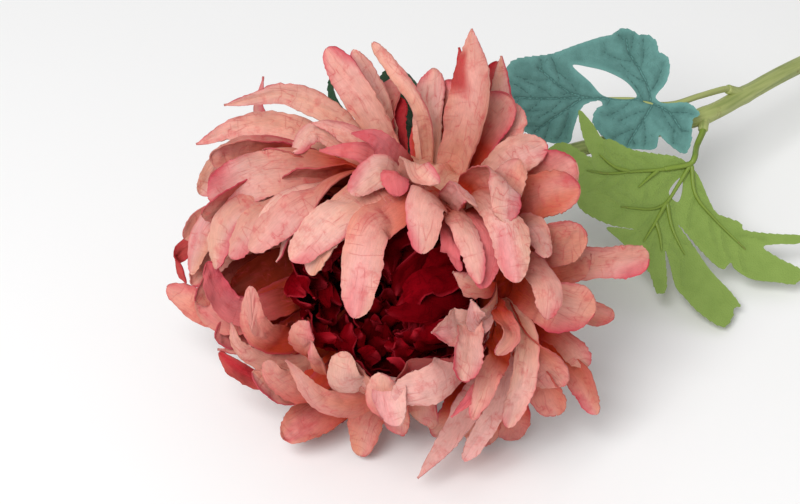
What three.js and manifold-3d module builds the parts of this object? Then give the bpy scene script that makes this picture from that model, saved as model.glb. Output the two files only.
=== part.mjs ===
// A single long-stemmed fabric chrysanthemum, lying on the surface it was set down on.
// Units are millimetres, +Z is up, and the bloom faces along -Y with its stem behind it.
import * as THREE from 'three';
import { mergeVertices } from 'three/addons/utils/BufferGeometryUtils.js';
import { TessellateModifier } from 'three/addons/modifiers/TessellateModifier.js';
import Module from 'manifold-3d';

const wasm = await Module();
wasm.setup();

// ---------------------------------------------------------------- driving dimensions, mm
const HEART_HEIGHT = 66; // centre of the bloom above the surface
const FACE_TILT = THREE.MathUtils.degToRad(10); // how far the bloom looks up
const HEART_RADIUS = 39; // the wine cup, across its half width
const HEART_HALF_DEPTH = 28; // the wine cup, half its depth along the bloom's axis
const GAP = 0.4; // running clearance between neighbouring pieces
const PETAL_THICKNESS = 1.3; // at a petal's middle, thinning to its edges
const ROOT_REACH = 9; // where petals leave the bloom's core
const ROOT_RISE = -3;
const FLOOR_CLEARANCE = 1.2; // lowest place of a petal's inner face
const BACK_PETALS = 12;
const LEFT_PETALS = 6;
const LEFT_INNER_PETALS = 6;
const WINE_PETALS = 40;
const FACING_STEPS = 40; // how finely a petal's turn is followed along it
const FACET_TOLERANCE = 0.15; // how far a joined surface may be smoothed to drop slivers
const TOUCH_GAP = 0.05; // how far corners that touch are drawn apart
const STEM_RADIUS = 3.4;
const NECK_RADIUS = 2.9; // the stem just behind the bloom
const SLEEVE_RADIUS = 2.6; // moulded sockets that hold the leaf stalks
const STALK_GAP = 0.9; // between a sleeve's mouth and the end of its leaf stalk
const RIB_GAP = 0.6; // between a leaf's face and its moulded ribs
const LEAF_THICKNESS = 0.8;
const LEAF_MESH_EDGE = 13; // longest edge of a leaf's triangles
const RIB_ROOT_RADIUS = 1.1;
const RIB_TIP_RADIUS = 0.4;

// The way that the loose petals turn their faces.
const facing = new THREE.Vector3(0.417, -0.642, 0.643);

const heart = new THREE.Vector3(0, 0, HEART_HEIGHT);
const axis = new THREE.Vector3(0, -Math.cos(FACE_TILT), Math.sin(FACE_TILT));

// ---------------------------------------------------------------- places in and round the bloom
// A place in the bloom is [bearing in degrees clockwise from the top as the bloom looks at
// you, reach from its axis, rise along its axis].
function outward(bearing) {
  const b = THREE.MathUtils.degToRad(bearing);
  const up = Math.cos(b);
  return new THREE.Vector3(Math.sin(b), up * Math.sin(FACE_TILT), up * Math.cos(FACE_TILT));
}

function bloomPoint([bearing, reach, rise]) {
  return heart.clone().addScaledVector(outward(bearing), reach).addScaledVector(axis, rise);
}

// Pushes a point out of the egg-shaped room of the wine cup and up off the surface.
function clearOfHeart(point, margin) {
  const rel = point.clone().sub(heart);
  const rise = rel.dot(axis);
  const side = rel.addScaledVector(axis, -rise);
  const depth = rise - HEART_HALF_DEPTH;
  const q = Math.hypot(side.length() / HEART_RADIUS, depth / HEART_HALF_DEPTH);
  const grow = q < margin ? margin / Math.max(q, 1e-6) : 1;
  const out = heart.clone().addScaledVector(side, grow);
  out.addScaledVector(axis, HEART_HALF_DEPTH + depth * grow);
  out.z = Math.max(out.z, FLOOR_CLEARANCE);
  return out;
}

// A small repeatable random draw between low and high.
let seed = 4711;
function draw(low, high) {
  seed = (seed * 16807) % 2147483647;
  return low + (high - low) * (seed / 2147483647);
}

// ---------------------------------------------------------------- solids
function solidFrom(geometry) {
  geometry.deleteAttribute('normal');
  geometry.deleteAttribute('uv');
  const merged = mergeVertices(geometry, 1e-4);
  const mesh = new wasm.Mesh({
    numProp: 3,
    vertProperties: new Float32Array(merged.getAttribute('position').array),
    triVerts: new Uint32Array(merged.getIndex().array),
  });
  return new wasm.Manifold(mesh);
}

function solidFromFaces(points, faces) {
  const geometry = new THREE.BufferGeometry().setFromPoints(points);
  geometry.setIndex(faces.flat());
  const solid = solidFrom(geometry);
  if (solid.volume() > 0) return solid;
  geometry.setIndex(faces.map(([a, b, c]) => [a, c, b]).flat());
  return solidFrom(geometry);
}

// Joins solids two by two, so that each join stays small for as long as it can.
function fuse(solids) {
  let round = solids;
  while (round.length > 1) {
    const next = [];
    for (let i = 0; i < round.length; i += 2) {
      next.push(i + 1 < round.length ? round[i].add(round[i + 1]) : round[i]);
    }
    round = next;
  }
  return round[0];
}

// The largest body of a solid, without loose scraps, sealed hollows and slivers.
function largestBody(solid) {
  const bodies = solid.simplify(FACET_TOLERANCE).decompose();
  return bodies.reduce((best, body) => (body.volume() > best.volume() ? body : best));
}

// Corners of a solid that touch at one place without an edge between them are drawn a hair
// apart, each towards its own neighbours, so that the solid nowhere touches itself.
function drawnApart(solid) {
  const { vertProperties, triVerts } = solid.getMesh();
  const corner = (i) => new THREE.Vector3().fromArray(vertProperties, 3 * i);
  const neighbours = new Map();
  const touching = new Map();
  for (let i = 0; i < triVerts.length; i += 1) {
    const first = i - (i % 3);
    const near = neighbours.get(triVerts[i]) ?? new Set();
    for (let j = 0; j < 3; j += 1) near.add(triVerts[first + j]);
    neighbours.set(triVerts[i], near);
    const place = corner(triVerts[i]).toArray().map((value) => value.toFixed(3)).join();
    touching.set(place, (touching.get(place) ?? new Set()).add(triVerts[i]));
  }
  for (const group of touching.values()) {
    if (group.size < 2) continue;
    for (const i of group) {
      const middle = new THREE.Vector3();
      const others = [...neighbours.get(i)].filter((j) => !group.has(j));
      for (const j of others) middle.addScaledVector(corner(j), 1 / others.length);
      const step = middle.sub(corner(i)).setLength(TOUCH_GAP);
      corner(i).add(step).toArray(vertProperties, 3 * i);
    }
  }
  return new wasm.Manifold(new wasm.Mesh({ numProp: 3, vertProperties, triVerts }));
}

function meshFrom(name, solid, material) {
  const { vertProperties, triVerts } = solid.getMesh();
  const geometry = new THREE.BufferGeometry();
  geometry.setAttribute('position', new THREE.BufferAttribute(vertProperties, 3));
  geometry.setIndex(new THREE.BufferAttribute(triVerts, 1));
  const mesh = new THREE.Mesh(geometry, material);
  mesh.name = name;
  return mesh;
}

function material(color, roughness) {
  return new THREE.MeshStandardMaterial({ color, roughness, metalness: 0 });
}

// The wine cup's egg-shaped room as a faceted solid, grown by a margin.
function heartRoom(margin) {
  const geometry = new THREE.SphereGeometry(1, 20, 12);
  geometry.scale(HEART_RADIUS + margin, HEART_HALF_DEPTH + margin, HEART_RADIUS + margin);
  const turn = new THREE.Quaternion().setFromUnitVectors(new THREE.Vector3(0, 1, 0), axis);
  geometry.applyQuaternion(turn);
  const centre = heart.clone().addScaledVector(axis, HEART_HALF_DEPTH);
  geometry.translate(centre.x, centre.y, centre.z);
  return solidFrom(geometry);
}

// A turned solid about the bloom's axis, from [reach, rise] pairs.
function turned(profile, sides) {
  const geometry = new THREE.LatheGeometry(profile.map(([r, h]) => new THREE.Vector2(r, h)), sides);
  const turn = new THREE.Quaternion().setFromUnitVectors(new THREE.Vector3(0, 1, 0), axis);
  geometry.applyQuaternion(turn);
  geometry.translate(heart.x, heart.y, heart.z);
  return solidFrom(geometry);
}

// ---------------------------------------------------------------- petals
// Half width along a petal, as [distance from root, share of the widest].
const OUTLINES = {
  spoon: [[0, 0.4], [0.55, 0.95], [0.86, 0.8]],
  round: [[0, 0.16], [0.34, 0.52], [0.68, 0.98], [0.91, 0.8]],
  point: [[0, 0.18], [0.34, 0.6], [0.7, 1], [0.88, 0.66]],
};

// The way along a petal, its width square to that and to the way out, and its inner side.
function petalFrame(curve, across, s) {
  const along = curve.getTangentAt(s);
  const wide = across.clone().addScaledVector(along, -across.dot(along)).normalize();
  return { along, wide, inner: new THREE.Vector3().crossVectors(along, wide) };
}

// The turns about the way along that set a petal's width square to the way its face is to
// look, in even steps from root to tip. Each is the one nearest to the next one's.
function facingTurns(curve, across) {
  const turns = [];
  for (let i = FACING_STEPS; i >= 0; i -= 1) {
    const { along, wide, inner } = petalFrame(curve, across, i / FACING_STEPS);
    const wanted = new THREE.Vector3().crossVectors(along, facing);
    const turn = Math.atan2(wanted.dot(inner), wanted.dot(wide));
    const next = turns.length > 0 ? turns[0] : 0;
    turns.unshift(turn - Math.PI * Math.round((turn - next) / Math.PI));
  }
  return turns;
}

// A petal is a folded blade: at each station a left edge, a right edge and a middle with an
// inner and an outer face. It runs from root to tip along a smooth curve, and curls across
// its width by the cup angle. Its width lies square to the way out from the bloom's axis,
// turned by the roll and by a share, look, of the turn that would make it face that way.
function bladeSolid(places, width, options, keepClear) {
  const { roll = 0, cup = 0.5, outline = 'round', look = 0 } = options;
  const curve = new THREE.CatmullRomCurve3(places.map(bloomPoint), false, 'centripetal');
  const across = new THREE.Vector3().crossVectors(axis, outward(places[1][0]));
  const turns = facingTurns(curve, across);
  const points = [];
  const faces = [];
  for (const [s, share] of OUTLINES[outline]) {
    const { along, wide, inner } = petalFrame(curve, across, s);
    const facingTurn = look * turns[Math.round(s * FACING_STEPS)];
    const angle = (THREE.MathUtils.degToRad(roll) + facingTurn) * Math.min(1, 2 * s);
    wide.applyAxisAngle(along, angle);
    inner.applyAxisAngle(along, angle);
    const half = (share * width) / 2;
    const curl = cup * (1.5 - 0.8 * s);
    const middle = curve.getPointAt(s);
    const edge = (half * Math.sin(curl)) / curl;
    const lift = (half * (1 - Math.cos(curl))) / curl;
    const left = middle.clone().addScaledVector(wide, -edge).addScaledVector(inner, lift);
    const right = middle.clone().addScaledVector(wide, edge).addScaledVector(inner, lift);
    const face = keepClear(middle);
    const back = face.clone().addScaledVector(inner, -PETAL_THICKNESS);
    back.z = face.z > FLOOR_CLEARANCE ? Math.max(back.z, 0) : 0;
    points.push(keepClear(left), face, keepClear(right), back);
  }
  const end = keepClear(curve.getPointAt(1));
  end.z = end.z > FLOOR_CLEARANCE ? end.z : 0;
  const tip = points.push(end) - 1;
  const last = tip - 4;
  for (let i = 0; i < last; i += 4) {
    for (const [edge, middle] of [[0, 1], [2, 1], [2, 3], [0, 3]]) {
      const flip = (edge === 0) === (middle === 1);
      const near = [i + edge, i + middle, i + 4 + middle];
      const far = [i + edge, i + 4 + middle, i + 4 + edge];
      faces.push(...(flip ? [near, far] : [near.reverse(), far.reverse()]));
    }
  }
  faces.push([0, 3, 1], [1, 3, 2]);
  faces.push([last, last + 1, tip], [last + 1, last + 2, tip]);
  faces.push([last + 2, last + 3, tip], [last + 3, last, tip]);
  return solidFromFaces(points, faces);
}

const coralBlades = [];

function petal(width, ...rest) {
  const options = Array.isArray(rest.at(-1)) ? {} : rest.pop();
  const [bearing, reach, rise] = rest[0];
  const places = [[bearing, ROOT_REACH, ROOT_RISE], ...rest];
  if (rest.length < 3) {
    const kneeReach = ROOT_REACH + 0.55 * (reach - ROOT_REACH);
    places.splice(1, 0, [bearing, kneeReach, ROOT_RISE + 0.28 * (rise - ROOT_RISE)]);
  }
  coralBlades.push(bladeSolid(places, width, options, (point) => clearOfHeart(point, 1.04)));
}

// A ring of like petals, each a little off its even place.
function petalRing(count, start, span, width, [bellyReach, bellyRise], [tipReach, tipRise]) {
  for (let i = 0; i < count; i += 1) {
    const bearing = start + (span * (i + 0.5)) / count + draw(-5, 5);
    const belly = [bearing, bellyReach + draw(-4, 4), bellyRise + draw(-2, 2)];
    const tip = [bearing + draw(-6, 6), tipReach + draw(-4, 4), tipRise + draw(-4, 4)];
    petal(width * draw(0.9, 1.1), belly, tip);
  }
}

function upperPetals() {
  petal(11.5, [-32, 56, 2], [-40, 78, -3], { roll: 20 });
  petal(10.5, [-33, 55, -10], [-38, 73, -15], { roll: 15 });
  petal(6.5, [-9, 55, 3], [-25, 76, -1], { look: 0.5, cup: 0.9 });
  petal(10, [-33, 42, -9], [-32, 52, -16]);
  petal(12, [-12, 48, -8], [-16, 60.5, -18]);
  petal(18, [8, 58, -3], [-2.5, 78, -18], { roll: -10, cup: 0.8, outline: 'point' });
  petal(11, [-9, 41, -11], [-12, 52, -24]);
  petal(10, [4, 49, -25], [-2, 59, -37]);
  petal(10.5, [11, 51, -20], [2, 65, -31], { outline: 'point', cup: 0.8 });
  petal(12, [19, 50, -14], [15, 56, -23]);
  petal(13, [29, 50, -6], [33, 57, -16], { cup: 0.7 });
  petal(12, [36, 52, 7], [32, 60, 5]);
  petal(13, [4, 35, -15], [-1, 42, -26]);
}

function rightPetals() {
  petal(16.5, [46, 54, -3], [50, 64, -8], { cup: 0.9 });
  petal(16, [63, 52, 3], [65, 61, -6], { cup: 0.7 });
  petal(8, [53, 55, 11], [61, 62, 21], { look: 0.8 });
  petal(12, [79, 55, -16], [80, 70, -29]);
  petal(21, [79, 55, 13], [84, 68, 6], { cup: 0.9 });
  petal(11, [98, 53, -13], [100, 64, -22]);
  petal(11, [63, 53, 18], [69, 63, 26], [76, 65, 32], { look: 0.7 });
  petal(12.5, [32, 48, 17], [46, 60, 30], [62, 60, 37], { look: 0.6 });
  petal(11, [27, 47, 10], [35, 59, 17], [45, 60, 30]);
  petal(11, [36, 45, 24], [47, 54, 35], [61, 50, 42], { look: 0.6 });
  petal(8, [32, 44, 28], [45, 53, 42], [58, 52, 45], { look: 0.6 });
  petal(7, [32, 36, 27], [41, 44, 39], [53, 42, 39]);
}

// Petals that arch forward and hang over the wine cup.
function overhangingPetals() {
  petal(9, [27, 46, 27], [29, 57, 33], [36, 60, 37]);
  petal(12.5, [24, 40, 25], [22, 49, 39], [37, 41, 49]);
  petal(13.5, [15, 30, 29], [9, 36, 50], [49, 14, 63], { look: 0.5 });
  petal(14.5, [-1, 27, 22], [-13, 35, 45], [-48, 25, 58]);
  petal(12, [2, 23, 24], [-18, 26, 43], [-50, 17, 53]);
  petal(12.5, [-26, 28, 16], [-43, 38, 41], [-74, 39, 54], { look: 0.5 });
  petal(9, [-46, 24, 19], [-59, 31, 41], [-79, 31, 48], { outline: 'point' });
  petal(12, [-56, 34, 16], [-67, 45, 41], [-87, 47, 51], { look: 0.6 });
  petal(12, [-38, 31, 16], [-53, 41, 37], [-80, 40, 49], { look: 0.5 });
  petal(15, [-45, 40, 17], [-62, 50, 27]);
  petal(12, [-4, 42, 21], [-9, 54, 29], [-15, 57, 34], { outline: 'point', look: 0.8 });
  petal(9.5, [-6, 38, 19], [-14, 50, 32], [-26, 53, 39], { outline: 'point', look: 0.8 });
  petal(9, [8, 38, 24], [8, 51, 31], [21, 52, 33]);
  petal(11, [1, 34, 25], [-2, 47, 35], [-8, 42, 46], { look: 0.7 });
  petal(10, [3, 32, 23], [3, 46, 33], [11, 44, 40]);
  petal(9, [-32, 42, 9], [-39, 54, 14], [-45, 59, 16], { outline: 'point', look: 0.8 });
  petal(8, [-43, 44, 8], [-47, 56, 15], [-53, 54, 23], { look: 0.8 });
}

function leftPetals() {
  petal(10, [-64, 42, 14], [-79, 57, 40], [-97, 55, 48], { look: 0.7 });
  petal(9, [-77, 47, 13], [-87, 66, 37], [-102, 67, 47], { look: 0.7 });
  petal(13, [-96, 62, 31], [-107, 70, 44], { look: 0.5 });
  petal(16.5, [-49, 36, 12], [-62, 54, 28], [-81, 69, 36], { look: 0.8 });
  petal(12, [-67, 54, 8], [-73, 71, 19], [-87, 78, 27], { look: 0.7 });
  petal(11.5, [-60, 54, 2], [-68, 75, 11], [-79, 89, 18], { outline: 'point', look: 0.8 });
  petal(9.5, [-44, 50, 2], [-55, 72, 4], [-68, 87, 12], { outline: 'point', look: 0.8 });
  petal(6.5, [-74, 60, -4], [-73, 80, -5], [-68, 89, -14], { outline: 'point', look: 0.8 });
  petal(7, [-100, 77, 28], [-104, 83, 35], [-109, 78, 38]);
  petal(13, [-95, 76, 26], [-99, 81, 32]);
  petal(12, [-120, 69, 33], [-111, 89, 37], { look: 0.6 });
  petal(12, [-119, 61, 42], [-112, 70, 44], { look: 0.6 });
  petal(14, [-92, 48, 12], [-98, 60, 26]);
  petal(14, [-108, 48, 18], [-112, 62, 34]);
}

function lowerLeftPetals() {
  petal(10, [-116, 53, 43], [-107, 56, 47], [-95, 58, 49], { look: 0.7 });
  petal(13, [-135, 36, 43], [-115, 33, 59], [-87, 32, 60], { outline: 'point', look: 0.8 });
  petal(10.5, [-148, 47, 36], [-126, 46, 56], [-112, 42, 60], { outline: 'point', look: 0.8 });
  petal(7, [-132, 60, 39], [-127, 66, 47], { outline: 'point' });
  petal(7, [-144, 61, 39], [-136, 63, 46], [-128, 66, 47], { look: 0.5 });
  petal(9.5, [-159, 45, 44], [-147, 39, 56], [-136, 34, 60], { look: 0.8 });
  petal(8.5, [-154, 53, 41], [-146, 49, 52], [-138, 47, 56], { look: 0.7 });
  petal(11, [-165, 29, 43], [-157, 22, 54], [-143, 16, 55], { outline: 'point', look: 0.5 });
  petal(11, [-149, 27, 43], [-135, 19, 55], [-114, 13, 56], { look: 0.6 });
  petal(14, [-162, 58, 27], [-158, 75, 37], { cup: 0.8 });
  petal(14, [-180, 53, 27], [-180, 69, 32], { cup: 0.9 });
  petal(13, [-169, 51, 27], [-168, 58, 31]);
}

function lowerPetals() {
  petal(10.5, [168, 36, 39], [180, 31, 59], [218, 17, 69], { outline: 'point', look: 0.8 });
  petal(12.5, [170, 31, 43], [165, 21, 57], [147, 10, 59], { look: 0.5 });
  petal(10.5, [164, 27, 41], [159, 20, 50], [158, 12, 54], { outline: 'point' });
  petal(12.5, [139, 30, 45], [133, 30, 58], [112, 23, 61], { look: 0.7 });
  petal(13, [129, 25, 46], [121, 30, 61], [125, 39, 65], { cup: 0.8, look: 0.6 });
  petal(13.5, [106, 34, 34], [107, 38, 49], [118, 30, 62], { look: 0.7 });
  petal(10, [112, 25, 34], [113, 27, 45], [122, 27, 54]);
  petal(13, [168, 46, 29], [169, 59, 26]);
  petal(13, [152, 42, 26], [158, 55, 24], { cup: 0.8 });
}

function lowerRightPetals() {
  petal(7.5, [77, 33, 27], [78, 37, 42], [75, 35, 54], { look: 0.8 });
  petal(12, [78, 33, 26], [68, 36, 33], [53, 38, 38], { look: 0.8 });
  petal(8, [83, 39, 24], [81, 41, 35], [67, 42, 39], { look: 0.8 });
  petal(9.5, [82, 37, 35], [86, 44, 46], [93, 48, 56], { look: 0.8 });
  petal(7, [84, 43, 24], [86, 51, 31], [90, 50, 39], { look: 0.7 });
  petal(8.5, [100, 45, 26], [99, 50, 40], [111, 54, 50], { look: 0.8 });
  petal(8.5, [112, 46, 26], [112, 48, 39], [122, 48, 46], { outline: 'point', look: 0.8 });
  petal(9.5, [120, 41, 16], [139, 53, 27], [158, 69, 36], { outline: 'point', look: 0.8 });
  petal(10, [104, 43, 16], [123, 54, 22], [145, 67, 28], { look: 0.8 });
  petal(10, [93, 50, 19], [102, 56, 26], [121, 63, 30], { look: 0.7 });
  petal(13.5, [112, 56, 10], [123, 71, 5], { cup: 0.9 });
  petal(15, [100, 52, 16], [111, 66, 9], { cup: 0.9 });
  petal(10, [114, 64, -6], [122, 80, -9]);
  petal(10, [104, 57, -2], [111, 67, -8]);
  petal(12, [130, 57, 8], [148, 75, -3]);
  petal(11, [146, 50, 17], [166, 69, 8]);
  petal(13, [139, 54, 12], [155, 73, 4]);
}

function coralPetals() {
  upperPetals();
  rightPetals();
  overhangingPetals();
  leftPetals();
  lowerLeftPetals();
  lowerPetals();
  lowerRightPetals();
  petalRing(BACK_PETALS, 0, 360, 17, [42, -8], [57, -19]);
  petalRing(LEFT_PETALS, -168, 108, 18, [56, 10], [75, 27]);
  petalRing(LEFT_INNER_PETALS, -176, 126, 17, [57, 22], [65, 46]);
  const core = turned([[0, -9], [15, -9], [29, -8], [37, -3], [39, 8], [36, 13], [0, 9]], 24);
  const bloom = fuse([core, ...coralBlades]).subtract(heartRoom(GAP));
  return meshFrom('coral_petals', drawnApart(largestBody(bloom)), material('#dc968a', 0.85));
}

// Small spoon petals in a golden-angle spiral, tall at the rim and low at the centre.
function winePetals() {
  const goldenAngle = 137.508;
  const blades = [];
  for (let i = 0; i < WINE_PETALS; i += 1) {
    const share = (i + 0.5) / WINE_PETALS;
    const bearing = i * goldenAngle + draw(-6, 6);
    const rim = 6 + 31 * share ** 0.62;
    const tall = 14 + 38 * share ** 0.9;
    const places = [
      [bearing, rim * 0.4, 6 - 2 * share],
      [bearing, rim * 0.92, tall * 0.32],
      [bearing, rim, tall * 0.68],
      [bearing + draw(-4, 4), rim * 0.86 - 1, tall * 0.92],
      [bearing + draw(-8, 8), rim * 0.66 - 2, tall + 1.5],
    ];
    const options = { cup: 0.9, outline: 'spoon' };
    blades.push(bladeSolid(places, 12 + 9 * share, options, (point) => point));
  }
  const bowl = [[0, 0], [10, 0], [22, 4], [30, 13], [35, 24], [30, 24], [22, 17], [14, 12], [0, 9]];
  const core = turned(bowl, 18);
  const cup = fuse([core, ...blades]).intersect(heartRoom(0));
  return meshFrom('wine_petals', drawnApart(largestBody(cup)), material('#5a0c18', 0.85));
}

// ---------------------------------------------------------------- stem and calyx
// A round rod along a smooth curve through the points, with its own radius at each of them.
function rodSolid(stops, sides, steps) {
  const curve = new THREE.CatmullRomCurve3(stops.map(({ at }) => at), false, 'centripetal');
  const frames = curve.computeFrenetFrames(steps, false);
  const points = [];
  const faces = [];
  for (let i = 0; i <= steps; i += 1) {
    const place = (i / steps) * (stops.length - 1);
    const low = Math.min(Math.floor(place), stops.length - 2);
    const radius = THREE.MathUtils.lerp(stops[low].radius, stops[low + 1].radius, place - low);
    const centre = curve.getPointAt(i / steps);
    for (let k = 0; k < sides; k += 1) {
      const angle = (2 * Math.PI * k) / sides;
      const point = centre.clone();
      point.addScaledVector(frames.normals[i], radius * Math.cos(angle));
      point.addScaledVector(frames.binormals[i], radius * Math.sin(angle));
      points.push(point);
      const next = (k + 1) % sides;
      const ring = i * sides;
      if (i < steps) {
        faces.push([ring + k, ring + next, ring + sides + next]);
        faces.push([ring + k, ring + sides + next, ring + sides + k]);
      }
    }
  }
  for (let k = 1; k < sides - 1; k += 1) {
    faces.push([0, k + 1, k]);
    faces.push([steps * sides, steps * sides + k, steps * sides + k + 1]);
  }
  return solidFromFaces(points, faces);
}

function stop(x, y, z, radius) {
  return { at: new THREE.Vector3(x, y, z), radius };
}

function stem() {
  const rod = rodSolid([
    stop(0, 22.2, 62.1, NECK_RADIUS),
    stop(-1, 60, 54, NECK_RADIUS),
    stop(-2.4, 92.4, 46.6, NECK_RADIUS),
    stop(9.8, 121.4, 41.6, NECK_RADIUS),
    stop(31, 152, 42.5, STEM_RADIUS),
    stop(36.6, 176, 40, STEM_RADIUS),
    stop(41, 197, 38, STEM_RADIUS),
    stop(50, 250, 29, STEM_RADIUS),
    stop(52, 330, 14, STEM_RADIUS),
    stop(46, 405, STEM_RADIUS, STEM_RADIUS),
  ], 9, 30);
  const sleeves = [BLUE_STALK, LIME_STALK, DARK_STALK].map(({ root, mouth }) => rodSolid([
    { at: root, radius: STEM_RADIUS * 0.8 },
    { at: mouth, radius: SLEEVE_RADIUS },
  ], 8, 2));
  const surface = new THREE.BoxGeometry(2000, 2000, 20);
  surface.translate(0, 0, -10);
  const solid = fuse([rod, ...sleeves]).subtract(solidFrom(surface));
  return meshFrom('stem', largestBody(solid), material('#a5af6e', 0.5));
}

// A green plastic cup behind the petals, with short sepals, that the stem plugs on to.
function calyx() {
  const cup = turned([[0, -21.8], [4.2, -21.8], [6, -18], [11, -13], [13.5, -9.4], [0, -9.4]], 20);
  const sepals = [];
  for (let i = 0; i < 8; i += 1) {
    const bearing = 45 * i;
    const places = [[bearing, 7, -14], [bearing, 13, -11.6], [bearing, 20, -12.2]];
    sepals.push(bladeSolid(places, 7, { cup: 0.3, outline: 'point' }, (point) => point));
  }
  return meshFrom('calyx', largestBody(fuse([cup, ...sepals])), material('#7d9a4a', 0.55));
}

// ---------------------------------------------------------------- leaves
// A leaf is cut from flat fabric, so it has a flat outline, [right, up] from its base as you
// look square at it. Its bow lifts each place of the outline towards you.
const BLUE_LEAF = {
  base: [18.2, 132, 55.4],
  azimuth: 33,
  elevation: 40,
  bow: (x, y) => -0.3 * x + 0.004 * x * x + 0.006 * Math.max(y, 0) ** 2,
  outline: [
    [-58.5, 6], [-57, -2.5], [-53, -9.5], [-47.5, -14], [-39, -16], [-33, -15.5],
    [-31.5, -10.5], [-27.5, -1.5], [-21, 0.5], [-20, -0.5], [-23, -3], [-24, -8],
    [-18, -14.5], [-12.5, -17], [-6, -17.5], [1, -17], [2.5, -12], [4.5, -14], [12.5, -19],
    [15, -15], [16, -5.5], [18.5, -4], [14, 0.5], [3.5, 0.5], [1, 2.5], [5, 8], [6.5, 13.5],
    [5.5, 18], [2, 20], [1, 23.5], [-2.5, 26], [-6, 26], [-9, 27.5], [-13, 28],
    [-17, 25.5], [-21, 24.5], [-31, 21], [-40, 17.5], [-56, 13.5],
  ],
  hole: [[-32, 13.5], [-25, 7.5], [-19.5, 2.5], [-6.5, 2.5], [-10, 7.5], [-18, 11.5], [-25, 13]],
  ribSide: -1,
  ribs: [
    [[0, 0], [-6.5, 1.5], [-20, 1.5], [-27.5, 1.8], [-34.5, 4], [-45.5, 12]],
    [[-27.5, 1.8], [-36, 1], [-46.5, 0.5], [-54.5, 0.5]],
    [[-27.5, 1.8], [-35, -3.5], [-41.5, -8], [-46.5, -12]],
    [[-1, 1], [-2, 6], [-5.5, 13], [-10, 19.5], [-11, 24]],
    [[0, 0], [-3.5, -5.5], [-6.5, -10], [-10, -16]],
    [[0, 0], [6, -3], [11.5, -10]],
  ],
};
const LIME_LEAF = {
  base: [39, 126.2, 39.3],
  azimuth: 33,
  elevation: 40,
  bow: (x, y) => -0.3 * x + 0.004 * x * x + 0.0055 * Math.min(y, 0) ** 2,
  outline: [
    [-2, 0.5], [-6, 2.5], [-14, 3.5], [-24, 5], [-32, 8.5], [-35, 8.5], [-39.5, 14.5],
    [-44.5, 19], [-44, 13], [-41.5, 5], [-39.5, 1.5], [-49, 6.5], [-52.5, 6.5], [-56, 4.5],
    [-58.5, 0.5], [-56, -5], [-51, -9], [-45.5, -11], [-45.5, -15.5], [-43.5, -18.5],
    [-38.5, -21.5], [-32, -24], [-23, -25.5], [-34, -24.8], [-28.5, -30], [-18, -41.5],
    [-15, -49.5], [-12, -49], [-11, -46], [-11, -33.5], [-9.5, -39], [-7.5, -47.5],
    [-4.5, -51], [0.5, -56.5], [10, -62], [14, -57.5], [14.5, -55], [17, -54.5], [14.5, -50],
    [6.5, -41], [0.5, -32], [-5.5, -23.5], [-2.5, -27], [3, -33.5], [8.5, -39], [11.5, -40.5],
    [14.5, -38], [15.5, -40], [21.5, -44], [32, -45.5], [39, -46], [42, -41.5], [33, -36],
    [27.5, -32], [33, -31], [41.5, -30.5], [43, -28], [33.5, -27], [27.5, -26.5], [20, -25],
    [19.5, -23], [15, -21], [10, -19], [7, -14], [4, -7], [2, -3.5],
  ],
  hole: [[-4, -5.5], [-9, -11.5], [-5.5, -15], [-3.5, -10]],
  ribSide: 1,
  ribs: [
    [[0, 0], [-11, -2.5], [-23, -3.5], [-33.5, -4.5], [-41.5, -3.5]],
    [[-24.5, -3.6], [-30.5, -2], [-36.5, 2.5]],
    [[-13, -2.7], [-17, -6], [-21, -9.5]],
    [[0, 0], [-6, -9.5], [-10, -15], [-15, -17.5], [-28, -17]],
    [[-10, -15], [-14.5, -22.5], [-19.5, -30]],
    [[-10, -15], [-8, -25], [-3.5, -35]],
    [[-14.5, -22.5], [-13, -28], [-12.5, -33.5]],
    [[0, 0], [1.5, -12], [7.5, -20], [20.5, -33]],
  ],
};
const DARK_LEAF = {
  base: [0, 45.3, 58],
  azimuth: 0,
  elevation: 10,
  bow: (x) => 0.0016 * (x + 20) ** 2,
  outline: [
    [5, 7], [12, 8], [17, 12], [19, 17], [22, 21], [19, 25], [15, 24], [11, 25], [4, 18],
    [2, 26], [0, 34], [-6, 40], [-12, 42], [-18, 40], [-22, 34], [-28, 32], [-36, 34],
    [-43, 38], [-48, 38], [-52, 33], [-54, 25], [-55, 17], [-60, 12], [-66, 16], [-69.5, 22],
    [-70.5, 30], [-72, 22], [-68.5, 13.5], [-61.5, 8.5], [-52, 6], [-42, 4], [-34, 1],
    [-26, -3], [-18, -3], [-8, 3],
  ],
  hole: [],
  ribSide: -1,
  ribs: [
    [[3, 10], [-10, 14], [-28, 14], [-44, 12], [-57, 10]],
    [[-24, 14], [-36, 22], [-45, 32]],
    [[-24, 14], [-30, 9], [-36, 5]],
    [[3, 10], [-4, 20], [-8, 34]],
    [[3, 10], [10, 15], [16, 20]],
  ],
};
// Where each leaf stalk leaves the stem, and the mouth of the moulded sleeve that holds it.
const BLUE_STALK = {
  root: new THREE.Vector3(36.6, 176, 40),
  mouth: new THREE.Vector3(32.6, 168, 46.3),
  bends: [[27.2, 154.9, 48.8], [22.2, 141.6, 51]],
};
const LIME_STALK = {
  root: new THREE.Vector3(31, 152, 42.5),
  mouth: new THREE.Vector3(34.3, 145, 40.9),
  bends: [[35.4, 138.2, 38.8], [39.7, 127, 41.3]],
};
const DARK_STALK = {
  root: new THREE.Vector3(-1.2, 62, 53.5),
  mouth: new THREE.Vector3(1.5, 58.5, 58.7),
  bends: [[2.6, 54, 63]],
};

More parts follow.
